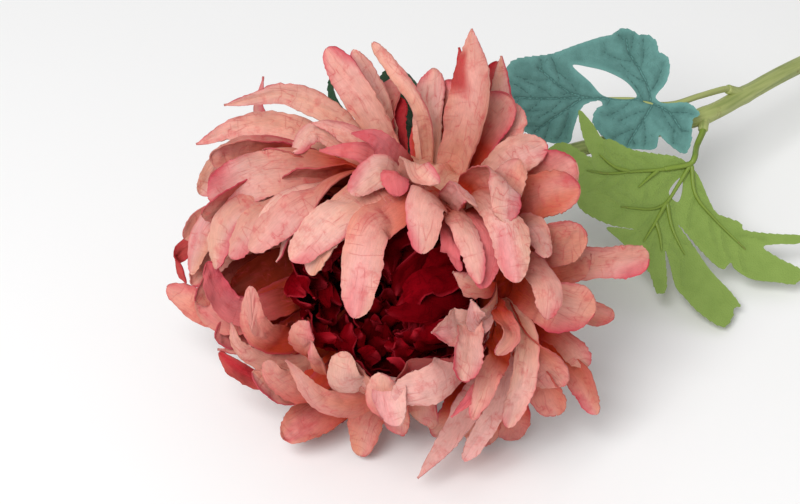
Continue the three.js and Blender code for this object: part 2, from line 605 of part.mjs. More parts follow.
// The place over a leaf's outline point [x, y], moved off its middle face by an offset.
function leafPoint({ base, azimuth, elevation, bow }, [x, y], offset) {
  const a = THREE.MathUtils.degToRad(azimuth);
  const e = THREE.MathUtils.degToRad(elevation);
  const right = new THREE.Vector3(Math.cos(a), Math.sin(a), 0);
  const toward = new THREE.Vector3(Math.sin(a) * Math.cos(e), -Math.cos(a) * Math.cos(e), Math.sin(e));
  const up = new THREE.Vector3().crossVectors(toward, right);
  const point = new THREE.Vector3(...base).addScaledVector(right, x).addScaledVector(up, y);
  return point.addScaledVector(toward, bow(x, y) + offset);
}

// Both faces of the leaf carry the same triangles, a fabric's thickness apart.
function leafSolid(leaf) {
  const shape = new THREE.Shape(leaf.outline.map(([x, y]) => new THREE.Vector2(x, y)));
  if (leaf.hole.length) {
    shape.holes.push(new THREE.Path(leaf.hole.map(([x, y]) => new THREE.Vector2(x, y))));
  }
  const flat = new TessellateModifier(LEAF_MESH_EDGE, 10).modify(new THREE.ShapeGeometry(shape));
  flat.deleteAttribute('normal');
  flat.deleteAttribute('uv');
  const sheet = mergeVertices(flat, 1e-3);
  const place = sheet.getAttribute('position');
  const index = Array.from(sheet.getIndex().array);
  const count = place.count;
  const points = [];
  for (const offset of [LEAF_THICKNESS / 2, -LEAF_THICKNESS / 2]) {
    for (let i = 0; i < count; i += 1) {
      points.push(leafPoint(leaf, [place.getX(i), place.getY(i)], offset));
    }
  }
  const faces = [];
  const rim = new Map();
  for (let i = 0; i < index.length; i += 3) {
    const [a, b, c] = index.slice(i, i + 3);
    faces.push([a, b, c], [a + count, c + count, b + count]);
    for (const [from, to] of [[a, b], [b, c], [c, a]]) {
      if (!rim.delete(`${to},${from}`)) rim.set(`${from},${to}`, [from, to]);
    }
  }
  for (const [from, to] of rim.values()) {
    faces.push([from, from + count, to + count], [from, to + count, to]);
  }
  return solidFromFaces(points, faces);
}

// The moulded stalk of a leaf with its ribs, a running clearance off the leaf's face.
function stalkSolid(leaf, { mouth, root, bends }) {
  const rise = (radius) => leaf.ribSide * (LEAF_THICKNESS / 2 + (radius + RIB_GAP) / 0.8);
  const rods = leaf.ribs.map((line) => {
    const last = line.length - 1;
    const stops = line.map((place, i) => {
      const radius = THREE.MathUtils.lerp(RIB_ROOT_RADIUS, RIB_TIP_RADIUS, i / last);
      return { at: leafPoint(leaf, place, rise(radius)), radius };
    });
    return rodSolid(stops, 5, last + 1);
  });
  const start = mouth.clone().add(mouth.clone().sub(root).setLength(STALK_GAP));
  const knots = [start, ...bends.map((place) => new THREE.Vector3(...place))];
  knots.push(leafPoint(leaf, leaf.ribs[0][0], rise(RIB_ROOT_RADIUS)));
  knots.push(leafPoint(leaf, leaf.ribs[0][1], rise(RIB_ROOT_RADIUS)));
  const radii = knots.map((_, i) => (i ? RIB_ROOT_RADIUS : RIB_ROOT_RADIUS * 1.15));
  rods.push(rodSolid(knots.map((at, i) => ({ at, radius: radii[i] })), 7, 10));
  return largestBody(fuse(rods));
}

const flower = new THREE.Group();
flower.name = 'spider_chrysanthemum';
flower.add(coralPetals());
flower.add(winePetals());
flower.add(calyx());
flower.add(stem());
flower.add(meshFrom('blue_leaf', leafSolid(BLUE_LEAF), material('#4b8282', 0.8)));
flower.add(meshFrom('blue_leaf_stalk', stalkSolid(BLUE_LEAF, BLUE_STALK), material('#7f9a68', 0.5)));
flower.add(meshFrom('lime_leaf', leafSolid(LIME_LEAF), material('#8caf50', 0.8)));
flower.add(meshFrom('lime_leaf_stalk', stalkSolid(LIME_LEAF, LIME_STALK), material('#7d9b28', 0.5)));
flower.add(meshFrom('dark_leaf', leafSolid(DARK_LEAF), material('#1c4a2c', 0.8)));
flower.add(meshFrom('dark_leaf_stalk', stalkSolid(DARK_LEAF, DARK_STALK), material('#4f6b34', 0.5)));

// The row's origin is the middle of the footprint, on the surface.
const box = new THREE.Box3().setFromObject(flower);
const middle = box.getCenter(new THREE.Vector3());
const shift = new THREE.Vector3(-middle.x, -middle.y, -box.min.z);
flower.children.forEach((child) => child.geometry.translate(shift.x, shift.y, shift.z));

export default flower;
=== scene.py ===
"""A long-stemmed fabric chrysanthemum lying on a pale surface.

Every shape is worked out in millimetres in the bloom's own frame: +Z is up from the surface,
the bloom faces -Y and 10 degrees up, and its centre is 66 mm over the surface. A place in the
bloom is [bearing in degrees clockwise from the top as the bloom looks at you, reach from its
axis, rise along its axis].
"""

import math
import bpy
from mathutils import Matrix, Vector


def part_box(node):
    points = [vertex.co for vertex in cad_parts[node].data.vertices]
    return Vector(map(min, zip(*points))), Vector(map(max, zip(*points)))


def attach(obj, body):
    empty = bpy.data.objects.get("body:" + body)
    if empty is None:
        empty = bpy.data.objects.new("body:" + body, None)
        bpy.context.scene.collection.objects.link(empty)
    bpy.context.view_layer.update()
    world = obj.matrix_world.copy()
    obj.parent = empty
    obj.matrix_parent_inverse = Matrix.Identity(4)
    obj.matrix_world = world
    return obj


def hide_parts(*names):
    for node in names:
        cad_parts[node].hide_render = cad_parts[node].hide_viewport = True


bl_info = {
    "name": "Spider Chrysanthemum",
    "version": (1, 0, 0),
    "blender": (4, 5, 0),
    "location": "View3D > Sidebar > Chrysanthemum",
    "description": "Dresses a fabric chrysanthemum with petals, leaves, stem and stage",
    "category": "Add Mesh",
}

import bpy
import numpy as np
from mathutils import Matrix, Vector
from mathutils.geometry import delaunay_2d_cdt

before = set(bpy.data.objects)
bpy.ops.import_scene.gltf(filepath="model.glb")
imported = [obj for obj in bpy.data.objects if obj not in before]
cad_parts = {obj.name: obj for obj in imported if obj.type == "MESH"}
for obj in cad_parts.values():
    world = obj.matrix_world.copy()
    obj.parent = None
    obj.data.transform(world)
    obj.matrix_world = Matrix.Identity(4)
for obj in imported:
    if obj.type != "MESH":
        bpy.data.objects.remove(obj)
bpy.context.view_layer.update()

MM = 0.001
FACE_TILT = math.radians(10)
HEART = np.array([0.0, 0.0, 66.0])
AXIS = np.array([0.0, -math.cos(FACE_TILT), math.sin(FACE_TILT)])
CALYX_CORNER = np.array([-20.0, 6.913, 44.185])  # the calyx's lowest corner, in this frame
ROW_CORNER = np.array(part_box("calyx")[0], dtype=float)
LOOK = np.array([0.417, -0.642, 0.643])  # the way that the loose petals turn their faces

# Sizes in millimetres, unless a line says otherwise
CUP_REACH = 39.0  # the wine cup fills an egg-shaped room on the axis, from the heart up
CUP_HALF_DEPTH = 28.0
CUP_OUTSIDE = 1.03  # the coral petals keep outside this share of the way to its wall,
CUP_INSIDE = 0.985  # and its own petals inside this one
ROOT_REACH = 9.0  # where the petals leave the core
ROOT_RISE = -3.0
LOWEST_FRONT = 0.4  # how low a petal's two faces may come over the surface
LOWEST_BACK = 0.05
CLOTH_REACH = 400  # each petal is cut from anywhere on a cloth this far across
BACK_SHIFT = 150  # how far off on the cloth its back is read
GOLDEN_ANGLE = 137.508  # degrees between one petal of the wine cup and the next
SHARP_EDGE = math.radians(55)
CURVE_STEPS = 40  # points in each stretch of a smooth curve
FORM_STEPS = 46  # stations along the profile of a turned form
EDGE_STEP = 0.5  # between the points of a leaf's cut edge
HOLE_STEP = 0.8  # between the points of its hole
TOOTH_LENGTH = 3
LEAF_PITCH = 0.65  # between the points inside a leaf
VEIN_STEP = 0.7  # between the points of a leaf's side veins
RIB_STEPS = 30  # stations along a leaf's moulded rib
RIB_RADII = (0.9, 0.35)  # at the rib's root and at its tip
SOCKET_RADII = (2.9, 2.1, 1.95, 1.9)  # of a leaf stalk's socket, from the stem to its mouth
SEPALS = 8  # on the calyx, each a sheet of so many rows and columns
SEPAL_ROWS, SEPAL_COLS = 16, 9
VIEW = (33, 40)  # the camera's azimuth and elevation in degrees, and the side leaves' too
CAMERA_DISTANCE = 766.0
CAMERA_ASIDE = 9.66  # how far to the left of the heart it aims
KEY_PLACE = (0.1, -1.15, 1.25)  # of the key light, in metres, as its size is
KEY_SIZE = 0.8
SURFACE_REACH = 3.0  # from the surface's middle to its sides, in metres
SEEDS = {"coral": 100, "core": 7, "cup": 55, "calyx": 3, "leaf": 31, "places": 4711}

# ------------------------------------------------------------------ petals
# Each side of the bloom has a usual dye and a row for each petal: its width, its places
# after the root, and how else it is turned, curled, cut or dyed.
CORAL_PETALS = {
    "upper": ("cream", [
        (11.5, [(-32, 56, 2), (-40, 78, -3)], {"roll": 20}),
        (7.5, [(-35, 55, -10), (-40, 73, -15)], {"roll": 15}),
        (5.5, [(-8, 55, 3), (-24, 76, -1)], {"look": 0.5, "cup": 0.9}),
        (10, [(-33, 42, -9), (-32, 52, -16)], {"dye": "crimson"}),
        (12, [(-12, 48, -8), (-16, 60.5, -18)], {}),
        (18, [(8, 58, -3), (-2.5, 78, -18)],
         {"roll": -10, "cup": 0.8, "cut": "point", "dye": "blush"}),
        (11, [(-9, 41, -11), (-12, 52, -24)], {"dye": "crimson"}),
        (10, [(4, 49, -25), (-2, 59, -37)], {"dye": "crimson"}),
        (8, [(0, 54, -12), (-7, 69, -20)], {"cut": "point", "dye": "crimson"}),
        (10.5, [(11, 51, -20), (2, 65, -31)], {"cup": 0.8, "cut": "point"}),
        (12, [(19, 50, -14), (15, 56, -23)], {}),
        (13, [(29, 50, -6), (33, 57, -16)], {"cup": 0.7}),
        (12, [(36, 52, 7), (32, 60, 5)], {}),
        (13, [(4, 35, -15), (-1, 42, -26)], {}),
    ]),
    "right": ("coral", [
        (16.5, [(46, 54, -3), (50, 64, -8)], {"cup": 0.9, "dye": "peach"}),
        (16, [(63, 52, 3), (65, 61, -6)], {"cup": 0.7, "dye": "peach"}),
        (8, [(53, 55, 11), (61, 62, 21)], {"look": 0.8}),
        (12, [(79, 55, -16), (80, 70, -29)], {"cut": "blunt", "dye": "cream"}),
        (21, [(79, 55, 13), (84, 68, 6)], {"cup": 0.9, "dye": "peach"}),
        (11, [(98, 53, -13), (100, 64, -22)], {"dye": "peach"}),
        (11, [(63, 53, 18), (69, 63, 26), (76, 65, 32)], {"look": 0.7}),
        (12.5, [(32, 48, 17), (46, 60, 30), (62, 60, 37)], {"look": 0.6}),
        (11, [(27, 47, 10), (35, 59, 17), (45, 60, 30)], {}),
        (11, [(36, 45, 24), (47, 54, 35), (61, 50, 42)], {"look": 0.6, "dye": "pink"}),
        (8, [(32, 44, 28), (45, 53, 42), (58, 52, 45)], {"look": 0.6}),
        (7, [(32, 36, 27), (41, 44, 39), (53, 42, 39)], {"dye": "pink"}),
    ]),
    "overhanging": ("coral", [
        (9, [(27, 46, 27), (29, 57, 33), (36, 60, 37)], {}),
        (12.5, [(24, 40, 25), (22, 49, 39), (37, 41, 49)], {}),
        (13.5, [(15, 30, 29), (9, 36, 50), (49, 14, 63)], {"look": 0.5}),
        (14.5, [(-1, 27, 22), (-13, 35, 45), (-48, 25, 58)], {}),
        (12, [(2, 23, 24), (-18, 26, 43), (-50, 17, 53)], {}),
        (12.5, [(-26, 28, 16), (-43, 38, 41), (-74, 39, 54)], {"look": 0.5}),
        (9, [(-46, 24, 19), (-59, 31, 41), (-79, 31, 48)], {"cut": "point"}),
        (12, [(-56, 34, 16), (-67, 45, 41), (-87, 47, 51)], {"look": 0.6}),
        (12, [(-38, 31, 16), (-53, 41, 37), (-80, 40, 49)], {"look": 0.5}),
        (15, [(-45, 40, 17), (-62, 50, 27)], {"dye": "burnt"}),
        (12, [(-4, 42, 21), (-9, 54, 29), (-15, 57, 34)],
         {"look": 0.8, "cut": "point", "dye": "pink"}),
        (9.5, [(-6, 38, 19), (-14, 50, 32), (-26, 53, 39)],
         {"look": 0.8, "cut": "point", "dye": "pink"}),
        (9, [(8, 38, 24), (8, 51, 31), (21, 52, 33)], {}),
        (11, [(1, 34, 25), (-2, 47, 35), (-8, 42, 46)], {"look": 0.7}),
        (10, [(3, 32, 23), (3, 46, 33), (11, 44, 40)], {"dye": "pink"}),
        (9, [(-32, 42, 9), (-39, 54, 14), (-45, 59, 16)], {"look": 0.8, "cut": "point"}),
        (8, [(-43, 44, 8), (-47, 56, 15), (-53, 54, 23)], {"look": 0.8}),
    ]),
    "left": ("coral", [
        (10, [(-64, 42, 14), (-79, 57, 40), (-97, 55, 48)], {"look": 0.7}),
        (9, [(-77, 47, 13), (-87, 66, 37), (-102, 67, 47)], {"look": 0.7}),
        (13, [(-96, 62, 31), (-107, 70, 44)], {"look": 0.5}),
        (16.5, [(-49, 36, 12), (-62, 54, 28), (-81, 69, 36)], {"look": 0.9}),
        (12, [(-67, 54, 8), (-73, 71, 19), (-87, 78, 27)], {"look": 0.8}),
        (11.5, [(-60, 54, 2), (-68, 75, 11), (-79, 89, 18)],
         {"look": 0.8, "cut": "point", "dye": "cream"}),
        (9.5, [(-44, 50, 2), (-55, 72, 4), (-68, 87, 12)],
         {"look": 0.8, "cut": "point", "dye": "cream"}),
        (6.5, [(-74, 60, -4), (-73, 80, -5), (-68, 89, -14)],
         {"look": 0.8, "cut": "point", "dye": "cream"}),
        (7, [(-100, 77, 28), (-104, 83, 35), (-109, 78, 38)], {"dye": "crimson"}),
        (13, [(-95, 76, 26), (-99, 81, 32)], {"dye": "burnt"}),
        (12, [(-120, 69, 33), (-111, 89, 37)], {"look": 0.6, "dye": "burnt"}),
        (12, [(-119, 61, 42), (-112, 70, 44)], {"look": 0.6, "dye": "burnt"}),
        # Painted shade: these two petals deep inside take the dark red-brown dye all over.
        (14, [(-92, 48, 12), (-98, 60, 26)], {"dye": "ember"}),
        (14, [(-108, 48, 18), (-112, 62, 34)], {"dye": "ember"}),
    ]),
    "lower_left": ("burnt", [
        (10, [(-116, 53, 43), (-107, 56, 47), (-95, 58, 49)], {"look": 0.7, "dye": "pink"}),
        (13, [(-135, 36, 43), (-115, 33, 59), (-87, 32, 60)], {"look": 0.8, "cut": "split"}),
        (10.5, [(-148, 47, 36), (-126, 46, 56), (-112, 42, 60)],
         {"look": 0.8, "cut": "point", "dye": "cream"}),
        (7, [(-132, 60, 39), (-127, 66, 47)], {"cut": "point"}),
        (7, [(-144, 61, 39), (-136, 63, 46), (-128, 66, 47)], {"look": 0.5, "dye": "crimson"}),
        (9.5, [(-159, 45, 44), (-147, 39, 56), (-136, 34, 60)], {"look": 0.8}),
        (8.5, [(-154, 53, 41), (-146, 49, 52), (-138, 47, 56)], {"look": 0.7}),
        (11, [(-165, 29, 43), (-157, 22, 54), (-143, 16, 55)], {"look": 0.5, "cut": "point"}),
        (11, [(-149, 27, 43), (-135, 19, 55), (-114, 13, 56)], {"look": 0.6}),
        (14, [(-162, 58, 27), (-158, 75, 37)], {"cup": 0.8}),
        (14, [(-180, 53, 27), (-180, 69, 32)], {"cup": 0.9}),
        (13, [(-169, 51, 27), (-168, 58, 31)], {"dye": "crimson"}),
    ]),
    "lower": ("burnt", [
        (10.5, [(168, 36, 39), (180, 31, 59), (218, 17, 69)],
         {"look": 0.8, "cut": "point", "dye": "coral"}),
        (12.5, [(170, 31, 43), (165, 21, 57), (147, 10, 59)], {"look": 0.5, "dye": "cream"}),
        (10.5, [(164, 27, 41), (159, 20, 50), (158, 12, 54)], {"cut": "split"}),
        (12.5, [(139, 30, 45), (133, 30, 58), (112, 23, 61)], {"look": 0.7}),
        (13, [(129, 25, 46), (121, 30, 61), (125, 39, 65)],
         {"look": 0.6, "cup": 0.8, "dye": "pale"}),
        (13.5, [(106, 34, 34), (107, 38, 49), (118, 30, 62)], {"look": 0.7, "dye": "pale"}),
        # Painted shade: a wine-red sheet in the gap between the lower petals.
        (10, [(112, 25, 34), (113, 27, 45), (122, 27, 54)], {"dye": "wine"}),
        (13, [(168, 46, 29), (169, 59, 26)], {}),
        (13, [(152, 42, 26), (158, 55, 24)], {"cup": 0.8}),
    ]),
    "lower_right": ("burnt", [
        (13, [(81, 33, 27), (80, 37, 42), (75, 35, 54)],
         {"look": 0.8, "cut": "kite", "hollow": True, "dye": "cream"}),
        (9.5, [(71, 34, 24), (63, 37, 32), (53, 38, 38)],
         {"look": 0.8, "cut": "kite", "hollow": True}),
        (8, [(83, 39, 24), (81, 41, 35), (67, 42, 39)],
         {"look": 0.8, "cut": "kite", "hollow": True, "dye": "pale"}),
        (9.5, [(82, 37, 35), (86, 44, 46), (93, 48, 56)],
         {"look": 0.8, "cut": "blunt", "hollow": True, "dye": "cream"}),
        (7, [(84, 43, 24), (86, 51, 31), (90, 50, 39)], {"look": 0.7, "hollow": True}),
        (8.5, [(100, 45, 26), (99, 50, 40), (111, 54, 50)], {"look": 0.8, "hollow": True}),
        (8.5, [(112, 46, 26), (112, 48, 39), (122, 48, 46)],
         {"look": 0.8, "cut": "point", "hollow": True, "dye": "pink"}),
        (9.5, [(120, 41, 16), (139, 53, 27), (158, 69, 36)],
         {"look": 0.8, "cut": "point", "hollow": True, "dye": "pale"}),
        (8, [(104, 43, 16), (123, 54, 22), (145, 67, 28)],
         {"look": 0.8, "hollow": True, "dye": "pale"}),
        (10, [(93, 50, 19), (102, 56, 26), (121, 63, 30)],
         {"look": 0.7, "hollow": True, "dye": "cream"}),
        (13.5, [(112, 56, 10), (123, 71, 5)], {"cup": 0.9}),
        (15, [(100, 52, 16), (111, 66, 9)], {"cup": 0.9}),
        (10, [(114, 64, -6), (122, 80, -9)], {}),
        (10, [(104, 57, -2), (111, 67, -8)], {}),
        (12, [(130, 57, 8), (148, 75, -3)], {}),
        (11, [(146, 50, 17), (166, 69, 8)], {}),
        (13, [(139, 54, 12), (155, 73, 4)], {}),
    ]),
}
BACK_RINGS = [  # how many, first bearing, span, width, belly and tip as [reach, rise], dye
    (12, 0, 360, 17, (42, -8), (57, -19), "burnt"),
    (6, -168, 108, 18, (56, 10), (75, 27), "burnt"),
    (6, -176, 126, 17, (57, 22), (65, 46), "scorched"),
]
# The root dye at the foot is partly dye and partly painted shade. It fades from these shares of a
# petal's length, and the kinds for petals low, behind or deep in the bloom carry the painted shade
# furthest up.
FADE_STARTS = {"burnt": 0.66, "scorched": 0.72, "peach": 0.5}  # where the root dye fades
USUAL_FADE_START = 0.42

# ------------------------------------------------------------------ leaves: a flat outline,
# [right, up] from the leaf's base, bowed towards the side it faces, with its ribs
LEAVES = {
    "blue_leaf": {
        "base": (18.2, 132.0, 55.4), "view": VIEW,
        "bow": lambda x, y: -0.3 * x + 0.004 * x * x + 0.006 * np.maximum(y, 0) ** 2,
        "outline": [
            (-58.5, 6), (-57, -2.5), (-53, -9.5), (-47.5, -14), (-39, -16), (-33, -15.5),
            (-31.5, -10.5), (-27.5, -1.5), (-21, 0.5), (-20, -0.5), (-23, -3), (-24, -8),
            (-18, -14.5), (-12.5, -17), (-6, -17.5), (1, -17), (2.5, -12), (4.5, -14),
            (12.5, -19), (15, -15), (16, -5.5), (18.5, -4), (14, 0.5), (3.5, 0.5), (1, 2.5),
            (5, 8), (6.5, 13.5), (5.5, 18), (2, 20), (1, 23.5), (-2.5, 26), (-6, 26),
            (-9, 27.5), (-13, 28), (-17, 25.5), (-21, 24.5), (-31, 21), (-40, 17.5),
            (-56, 13.5)],
        "hole": [(-32, 13.5), (-25, 7.5), (-19.5, 2.5), (-6.5, 2.5), (-10, 7.5),
                 (-18, 11.5), (-25, 13)],
        "rib_side": -1,
        "ribs": [
            [(0, 0), (-6.5, 1.5), (-20, 1.5), (-27.5, 1.8), (-34.5, 4), (-45.5, 12)],
            [(-27.5, 1.8), (-36, 1), (-46.5, 0.5), (-54.5, 0.5)],
            [(-27.5, 1.8), (-35, -3.5), (-41.5, -8), (-46.5, -12)],
            [(-1, 1), (-2, 6), (-5.5, 13), (-10, 19.5), (-11, 24)],
            [(0, 0), (-3.5, -5.5), (-6.5, -10), (-10, -16)],
            [(0, 0), (6, -3), (11.5, -10)]],
    },
    "lime_leaf": {
        "base": (39.0, 126.2, 39.3), "view": VIEW,
        "bow": lambda x, y: -0.3 * x + 0.004 * x * x + 0.0055 * np.minimum(y, 0) ** 2,
        "outline": [
            (-2, 0.5), (-6, 2.5), (-14, 3.5), (-24, 5), (-32, 8.5), (-35, 8.5),
            (-39.5, 14.5), (-44.5, 19), (-44, 13), (-41.5, 5), (-39.5, 1.5), (-49, 6.5),
            (-52.5, 6.5), (-56, 4.5), (-58.5, 0.5), (-56, -5), (-51, -9), (-45.5, -11),
            (-45.5, -15.5), (-43.5, -18.5), (-38.5, -21.5), (-32, -24), (-23, -25.5),
            (-34, -24.8), (-28.5, -30), (-18, -41.5), (-15, -49.5), (-12, -49), (-11, -46),
            (-11, -33.5), (-9.5, -39), (-7.5, -47.5), (-4.5, -51), (0.5, -56.5), (10, -62),
            (14, -57.5), (14.5, -55), (17, -54.5), (14.5, -50), (6.5, -41), (0.5, -32),
            (-5.5, -23.5), (-2.5, -27), (3, -33.5), (8.5, -39), (11.5, -40.5), (14.5, -38),
            (15.5, -40), (21.5, -44), (32, -45.5), (39, -46), (42, -41.5), (33, -36),
            (27.5, -32), (33, -31), (41.5, -30.5), (43, -28), (33.5, -27), (27.5, -26.5),
            (20, -25), (19.5, -23), (15, -21), (10, -19), (7, -14), (4, -7), (2, -3.5)],
        "hole": [(-4, -5.5), (-9, -11.5), (-5.5, -15), (-3.5, -10)],
        "rib_side": 1,
        "ribs": [
            [(0, 0), (-11, -2.5), (-23, -3.5), (-33.5, -4.5), (-41.5, -3.5)],
            [(-24.5, -3.6), (-30.5, -2), (-36.5, 2.5)],
            [(-13, -2.7), (-17, -6), (-21, -9.5)],
            [(0, 0), (-6, -9.5), (-10, -15), (-15, -17.5), (-28, -17)],
            [(-10, -15), (-14.5, -22.5), (-19.5, -30)],
            [(-10, -15), (-8, -25), (-3.5, -35)],
            [(-14.5, -22.5), (-13, -28), (-12.5, -33.5)],
            [(0, 0), (1.5, -12), (7.5, -20), (20.5, -33)]],
    },
    "dark_leaf": {
        "base": (0.0, 45.3, 58.0), "view": (0, 10),
        "bow": lambda x, y: 0.0016 * (x + 20) ** 2,
        "outline": [
            (5, 7), (12, 8), (17, 12), (19, 17), (22, 21), (19, 25), (15, 24), (11, 25),
            (4, 18), (2, 26), (0, 34), (-6, 40), (-12, 42), (-18, 40), (-22, 34), (-28, 32),
            (-36, 34), (-43, 38), (-48, 38), (-52, 33), (-54, 25), (-55, 17), (-60, 12),
            (-66, 16), (-69.5, 22), (-70.5, 30), (-72, 22), (-68.5, 13.5), (-61.5, 8.5),
            (-52, 6), (-42, 4), (-34, 1), (-26, -3), (-18, -3), (-8, 3)],
        "hole": [],
        "rib_side": -1,
        "ribs": [
            [(3, 10), (-10, 14), (-28, 14), (-44, 12), (-57, 10)],
            [(-24, 14), (-36, 22), (-45, 32)],
            [(-24, 14), (-30, 9), (-36, 5)],
            [(3, 10), (-4, 20), (-8, 34)],
            [(3, 10), (10, 15), (16, 20)]],
    },
}
STALKS = {
    "blue_leaf": {"root": (36.6, 176, 40), "mouth": (32.6, 168, 46.3),
                  "bends": [(27.2, 154.9, 48.8), (22.2, 141.6, 51)]},
    "lime_leaf": {"root": (31, 152, 42.5), "mouth": (34.3, 145, 40.9),
                  "bends": [(35.4, 138.2, 38.8), (39.7, 127, 41.3)]},
    "dark_leaf": {"root": (-1.2, 62, 53.5), "mouth": (1.5, 58.5, 58.7),
                  "bends": [(2.6, 54, 63)]},
}
STEM_STOPS = [  # place and radius
    (0, 22.2, 62.1, 2.9), (-1, 60, 54, 2.9), (-2.4, 92.4, 46.6, 2.9),
    (9.8, 121.4, 41.6, 2.9), (31, 152, 42.5, 3.4), (36.6, 176, 40, 3.4),
    (41, 197, 38, 3.4), (50, 250, 29, 3.4), (52, 330, 14, 3.4), (46, 405, 3.4, 3.4),
]


# ------------------------------------------------------------------ vectors and curves
def unit(v):
    """Each vector along the last axis divided by its own length."""
    return v / np.maximum(np.linalg.norm(v, axis=-1, keepdims=True), 1e-9)


def outward(bearing):
    """The direction away from the bloom's axis: sine of the bearing to the right and its
    cosine up along the tilted face."""
    b = np.radians(np.asarray(bearing, dtype=float))
    up = np.cos(b)
    side = [np.sin(b), up * math.sin(FACE_TILT), up * math.cos(FACE_TILT)]
    return np.stack(side, axis=-1)


def bloom_point(bearing, reach, rise):
    """Heart plus reach times the outward direction plus rise times the axis."""
    return HEART + reach * outward(bearing) + rise * AXIS


def curve_between(pts):
    """A dense centripetal Catmull-Rom curve from the second point to the last but one: each
    stretch is a cubic whose end slopes weigh its neighbours by the root of their distance."""
    p0, p1, p2, p3 = pts[:-3], pts[1:-2], pts[2:-1], pts[3:]
    d0, d1, d2 = (np.sqrt(np.linalg.norm(b - a, axis=1))[:, None] + 1e-6
                  for a, b in ((p0, p1), (p1, p2), (p2, p3)))
    t1 = ((p1 - p0) / d0 - (p2 - p0) / (d0 + d1) + (p2 - p1) / d1) * d1
    t2 = ((p2 - p1) / d1 - (p3 - p1) / (d1 + d2) + (p3 - p2) / d2) * d1
    x = np.linspace(0, 1, CURVE_STEPS, endpoint=False)[:, None, None]
    curve = ((2 * x**3 - 3 * x**2 + 1) * p1 + (x**3 - 2 * x**2 + x) * t1
             + (3 * x**2 - 2 * x**3) * p2 + (x**3 - x**2) * t2)
    return np.vstack([curve.transpose(1, 0, 2).reshape(-1, pts.shape[1]), pts[-2]])


def run_along(curve):
    """How far along a curve each of its points lies."""
    return np.concatenate([[0], np.cumsum(np.linalg.norm(np.diff(curve, axis=0), axis=1))])


def read_curve(curve, shares):
    """Points of a curve at shares of its length, and its length."""
    run = run_along(curve)
    at = np.asarray(shares) * run[-1]
    return np.stack([np.interp(at, run, column) for column in curve.T], axis=-1), run[-1]


def smooth_path(points, shares):
    """A smooth open curve through the points, read at shares of its length."""
    pts = np.asarray(points, dtype=float)
    pts = np.vstack([2 * pts[0] - pts[1], pts, 2 * pts[-1] - pts[-2]])
    return read_curve(curve_between(pts), shares)


def smooth_outline(points, step):
    """A smooth closed curve through the points, read at even steps, without its last point."""
    pts = np.asarray(points, dtype=float)
    curve = curve_between(np.vstack([pts[-1], pts, pts[:2]]))
    length = read_curve(curve, [0])[1]
    return read_curve(curve, np.linspace(0, 1, int(length / step), endpoint=False))[0]


def ripple(u, v, rng, waves=6, size=1.0):
    """A soft random relief: a sum of sine waves in u and v with random pitch and phase."""
    total = np.zeros(np.broadcast(u, v).shape)
    for _ in range(waves):
        pitch_u, pitch_v = rng.uniform(-1, 1, 2) / size
        total += np.sin(2 * np.pi * (pitch_u * u + pitch_v * v) + rng.uniform(0, 2 * np.pi))
    return total / waves


def view_axes(azimuth, elevation):
    """The directions to the right, up and towards you, as you look from a bearing and a
    height in degrees: both come from their sines and cosines, and up is square to the two."""
    a, e = math.radians(azimuth), math.radians(elevation)
    right = np.array([math.cos(a), math.sin(a), 0])
    toward = np.array([math.sin(a) * math.cos(e), -math.cos(a) * math.cos(e), math.sin(e)])
    return right, np.cross(toward, right), toward


def scale_in_cup(points, scale_for):
    """Points moved along the line from the middle of the wine cup's egg-shaped room, by a
    scale that follows from how far out each is as a share of the way to the room's wall."""
    rel = points - HEART
    rise = rel @ AXIS
    side = rel - rise[..., None] * AXIS
    depth = rise - CUP_HALF_DEPTH
    share = np.hypot(np.linalg.norm(side, axis=-1) / CUP_REACH, depth / CUP_HALF_DEPTH)
    scale = scale_for(np.maximum(share, 1e-6))
    return HEART + side * scale[..., None] + (CUP_HALF_DEPTH + depth * scale)[..., None] * AXIS


def clear_of_cup(points):
    """Points inside the cup's room are pushed just past its wall, and none goes below the
    surface that the flower lies on."""
    out = scale_in_cup(points, lambda share: np.maximum(1, CUP_OUTSIDE / share))
    out[..., 2] = np.maximum(out[..., 2], LOWEST_FRONT)
    return out


def inside_cup(points):
    """Points outside the cup's room are drawn in to just inside its wall."""
    return scale_in_cup(points, lambda share: np.minimum(1, CUP_INSIDE / share))


# ------------------------------------------------------------------ meshes
def to_row(points):
    """Millimetres in the bloom's frame to metres in the row's frame."""
    return (points - CALYX_CORNER) * MM + ROW_CORNER


def mesh_object(name, points, faces, material, layers, body="root"):
    """One mesh object with its place in its mesh. layers holds values for each point:
    names ending in '_dye' are colours, in '_place' vectors, and the rest numbers."""
    mesh = bpy.data.meshes.new(name)
    row = to_row(np.asarray(points, dtype=float))
    mesh.from_pydata(row.tolist(), [], [tuple(f) for f in faces])
    mesh.update()
    mesh.polygons.foreach_set("use_smooth", np.ones(len(mesh.polygons), dtype=bool))
    mesh.set_sharp_from_angle(angle=SHARP_EDGE)
    kinds = {"dye": ("FLOAT_COLOR", "color"), "place": ("FLOAT_VECTOR", "vector")}
    for key, values in layers.items():
        kind, field = kinds.get(key.split("_")[-1], ("FLOAT", "value"))
        values = np.asarray(values, dtype=np.float32)
        if kind == "FLOAT_COLOR":
            values = np.concatenate([values, np.ones((len(values), 1), np.float32)], axis=1)
        mesh.attributes.new(key, kind, "POINT").data.foreach_set(field, values.ravel())
    mesh.materials.append(material)
    piece = bpy.data.objects.new(name, mesh)
    bpy.context.collection.objects.link(piece)
    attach(piece, body)
    return piece


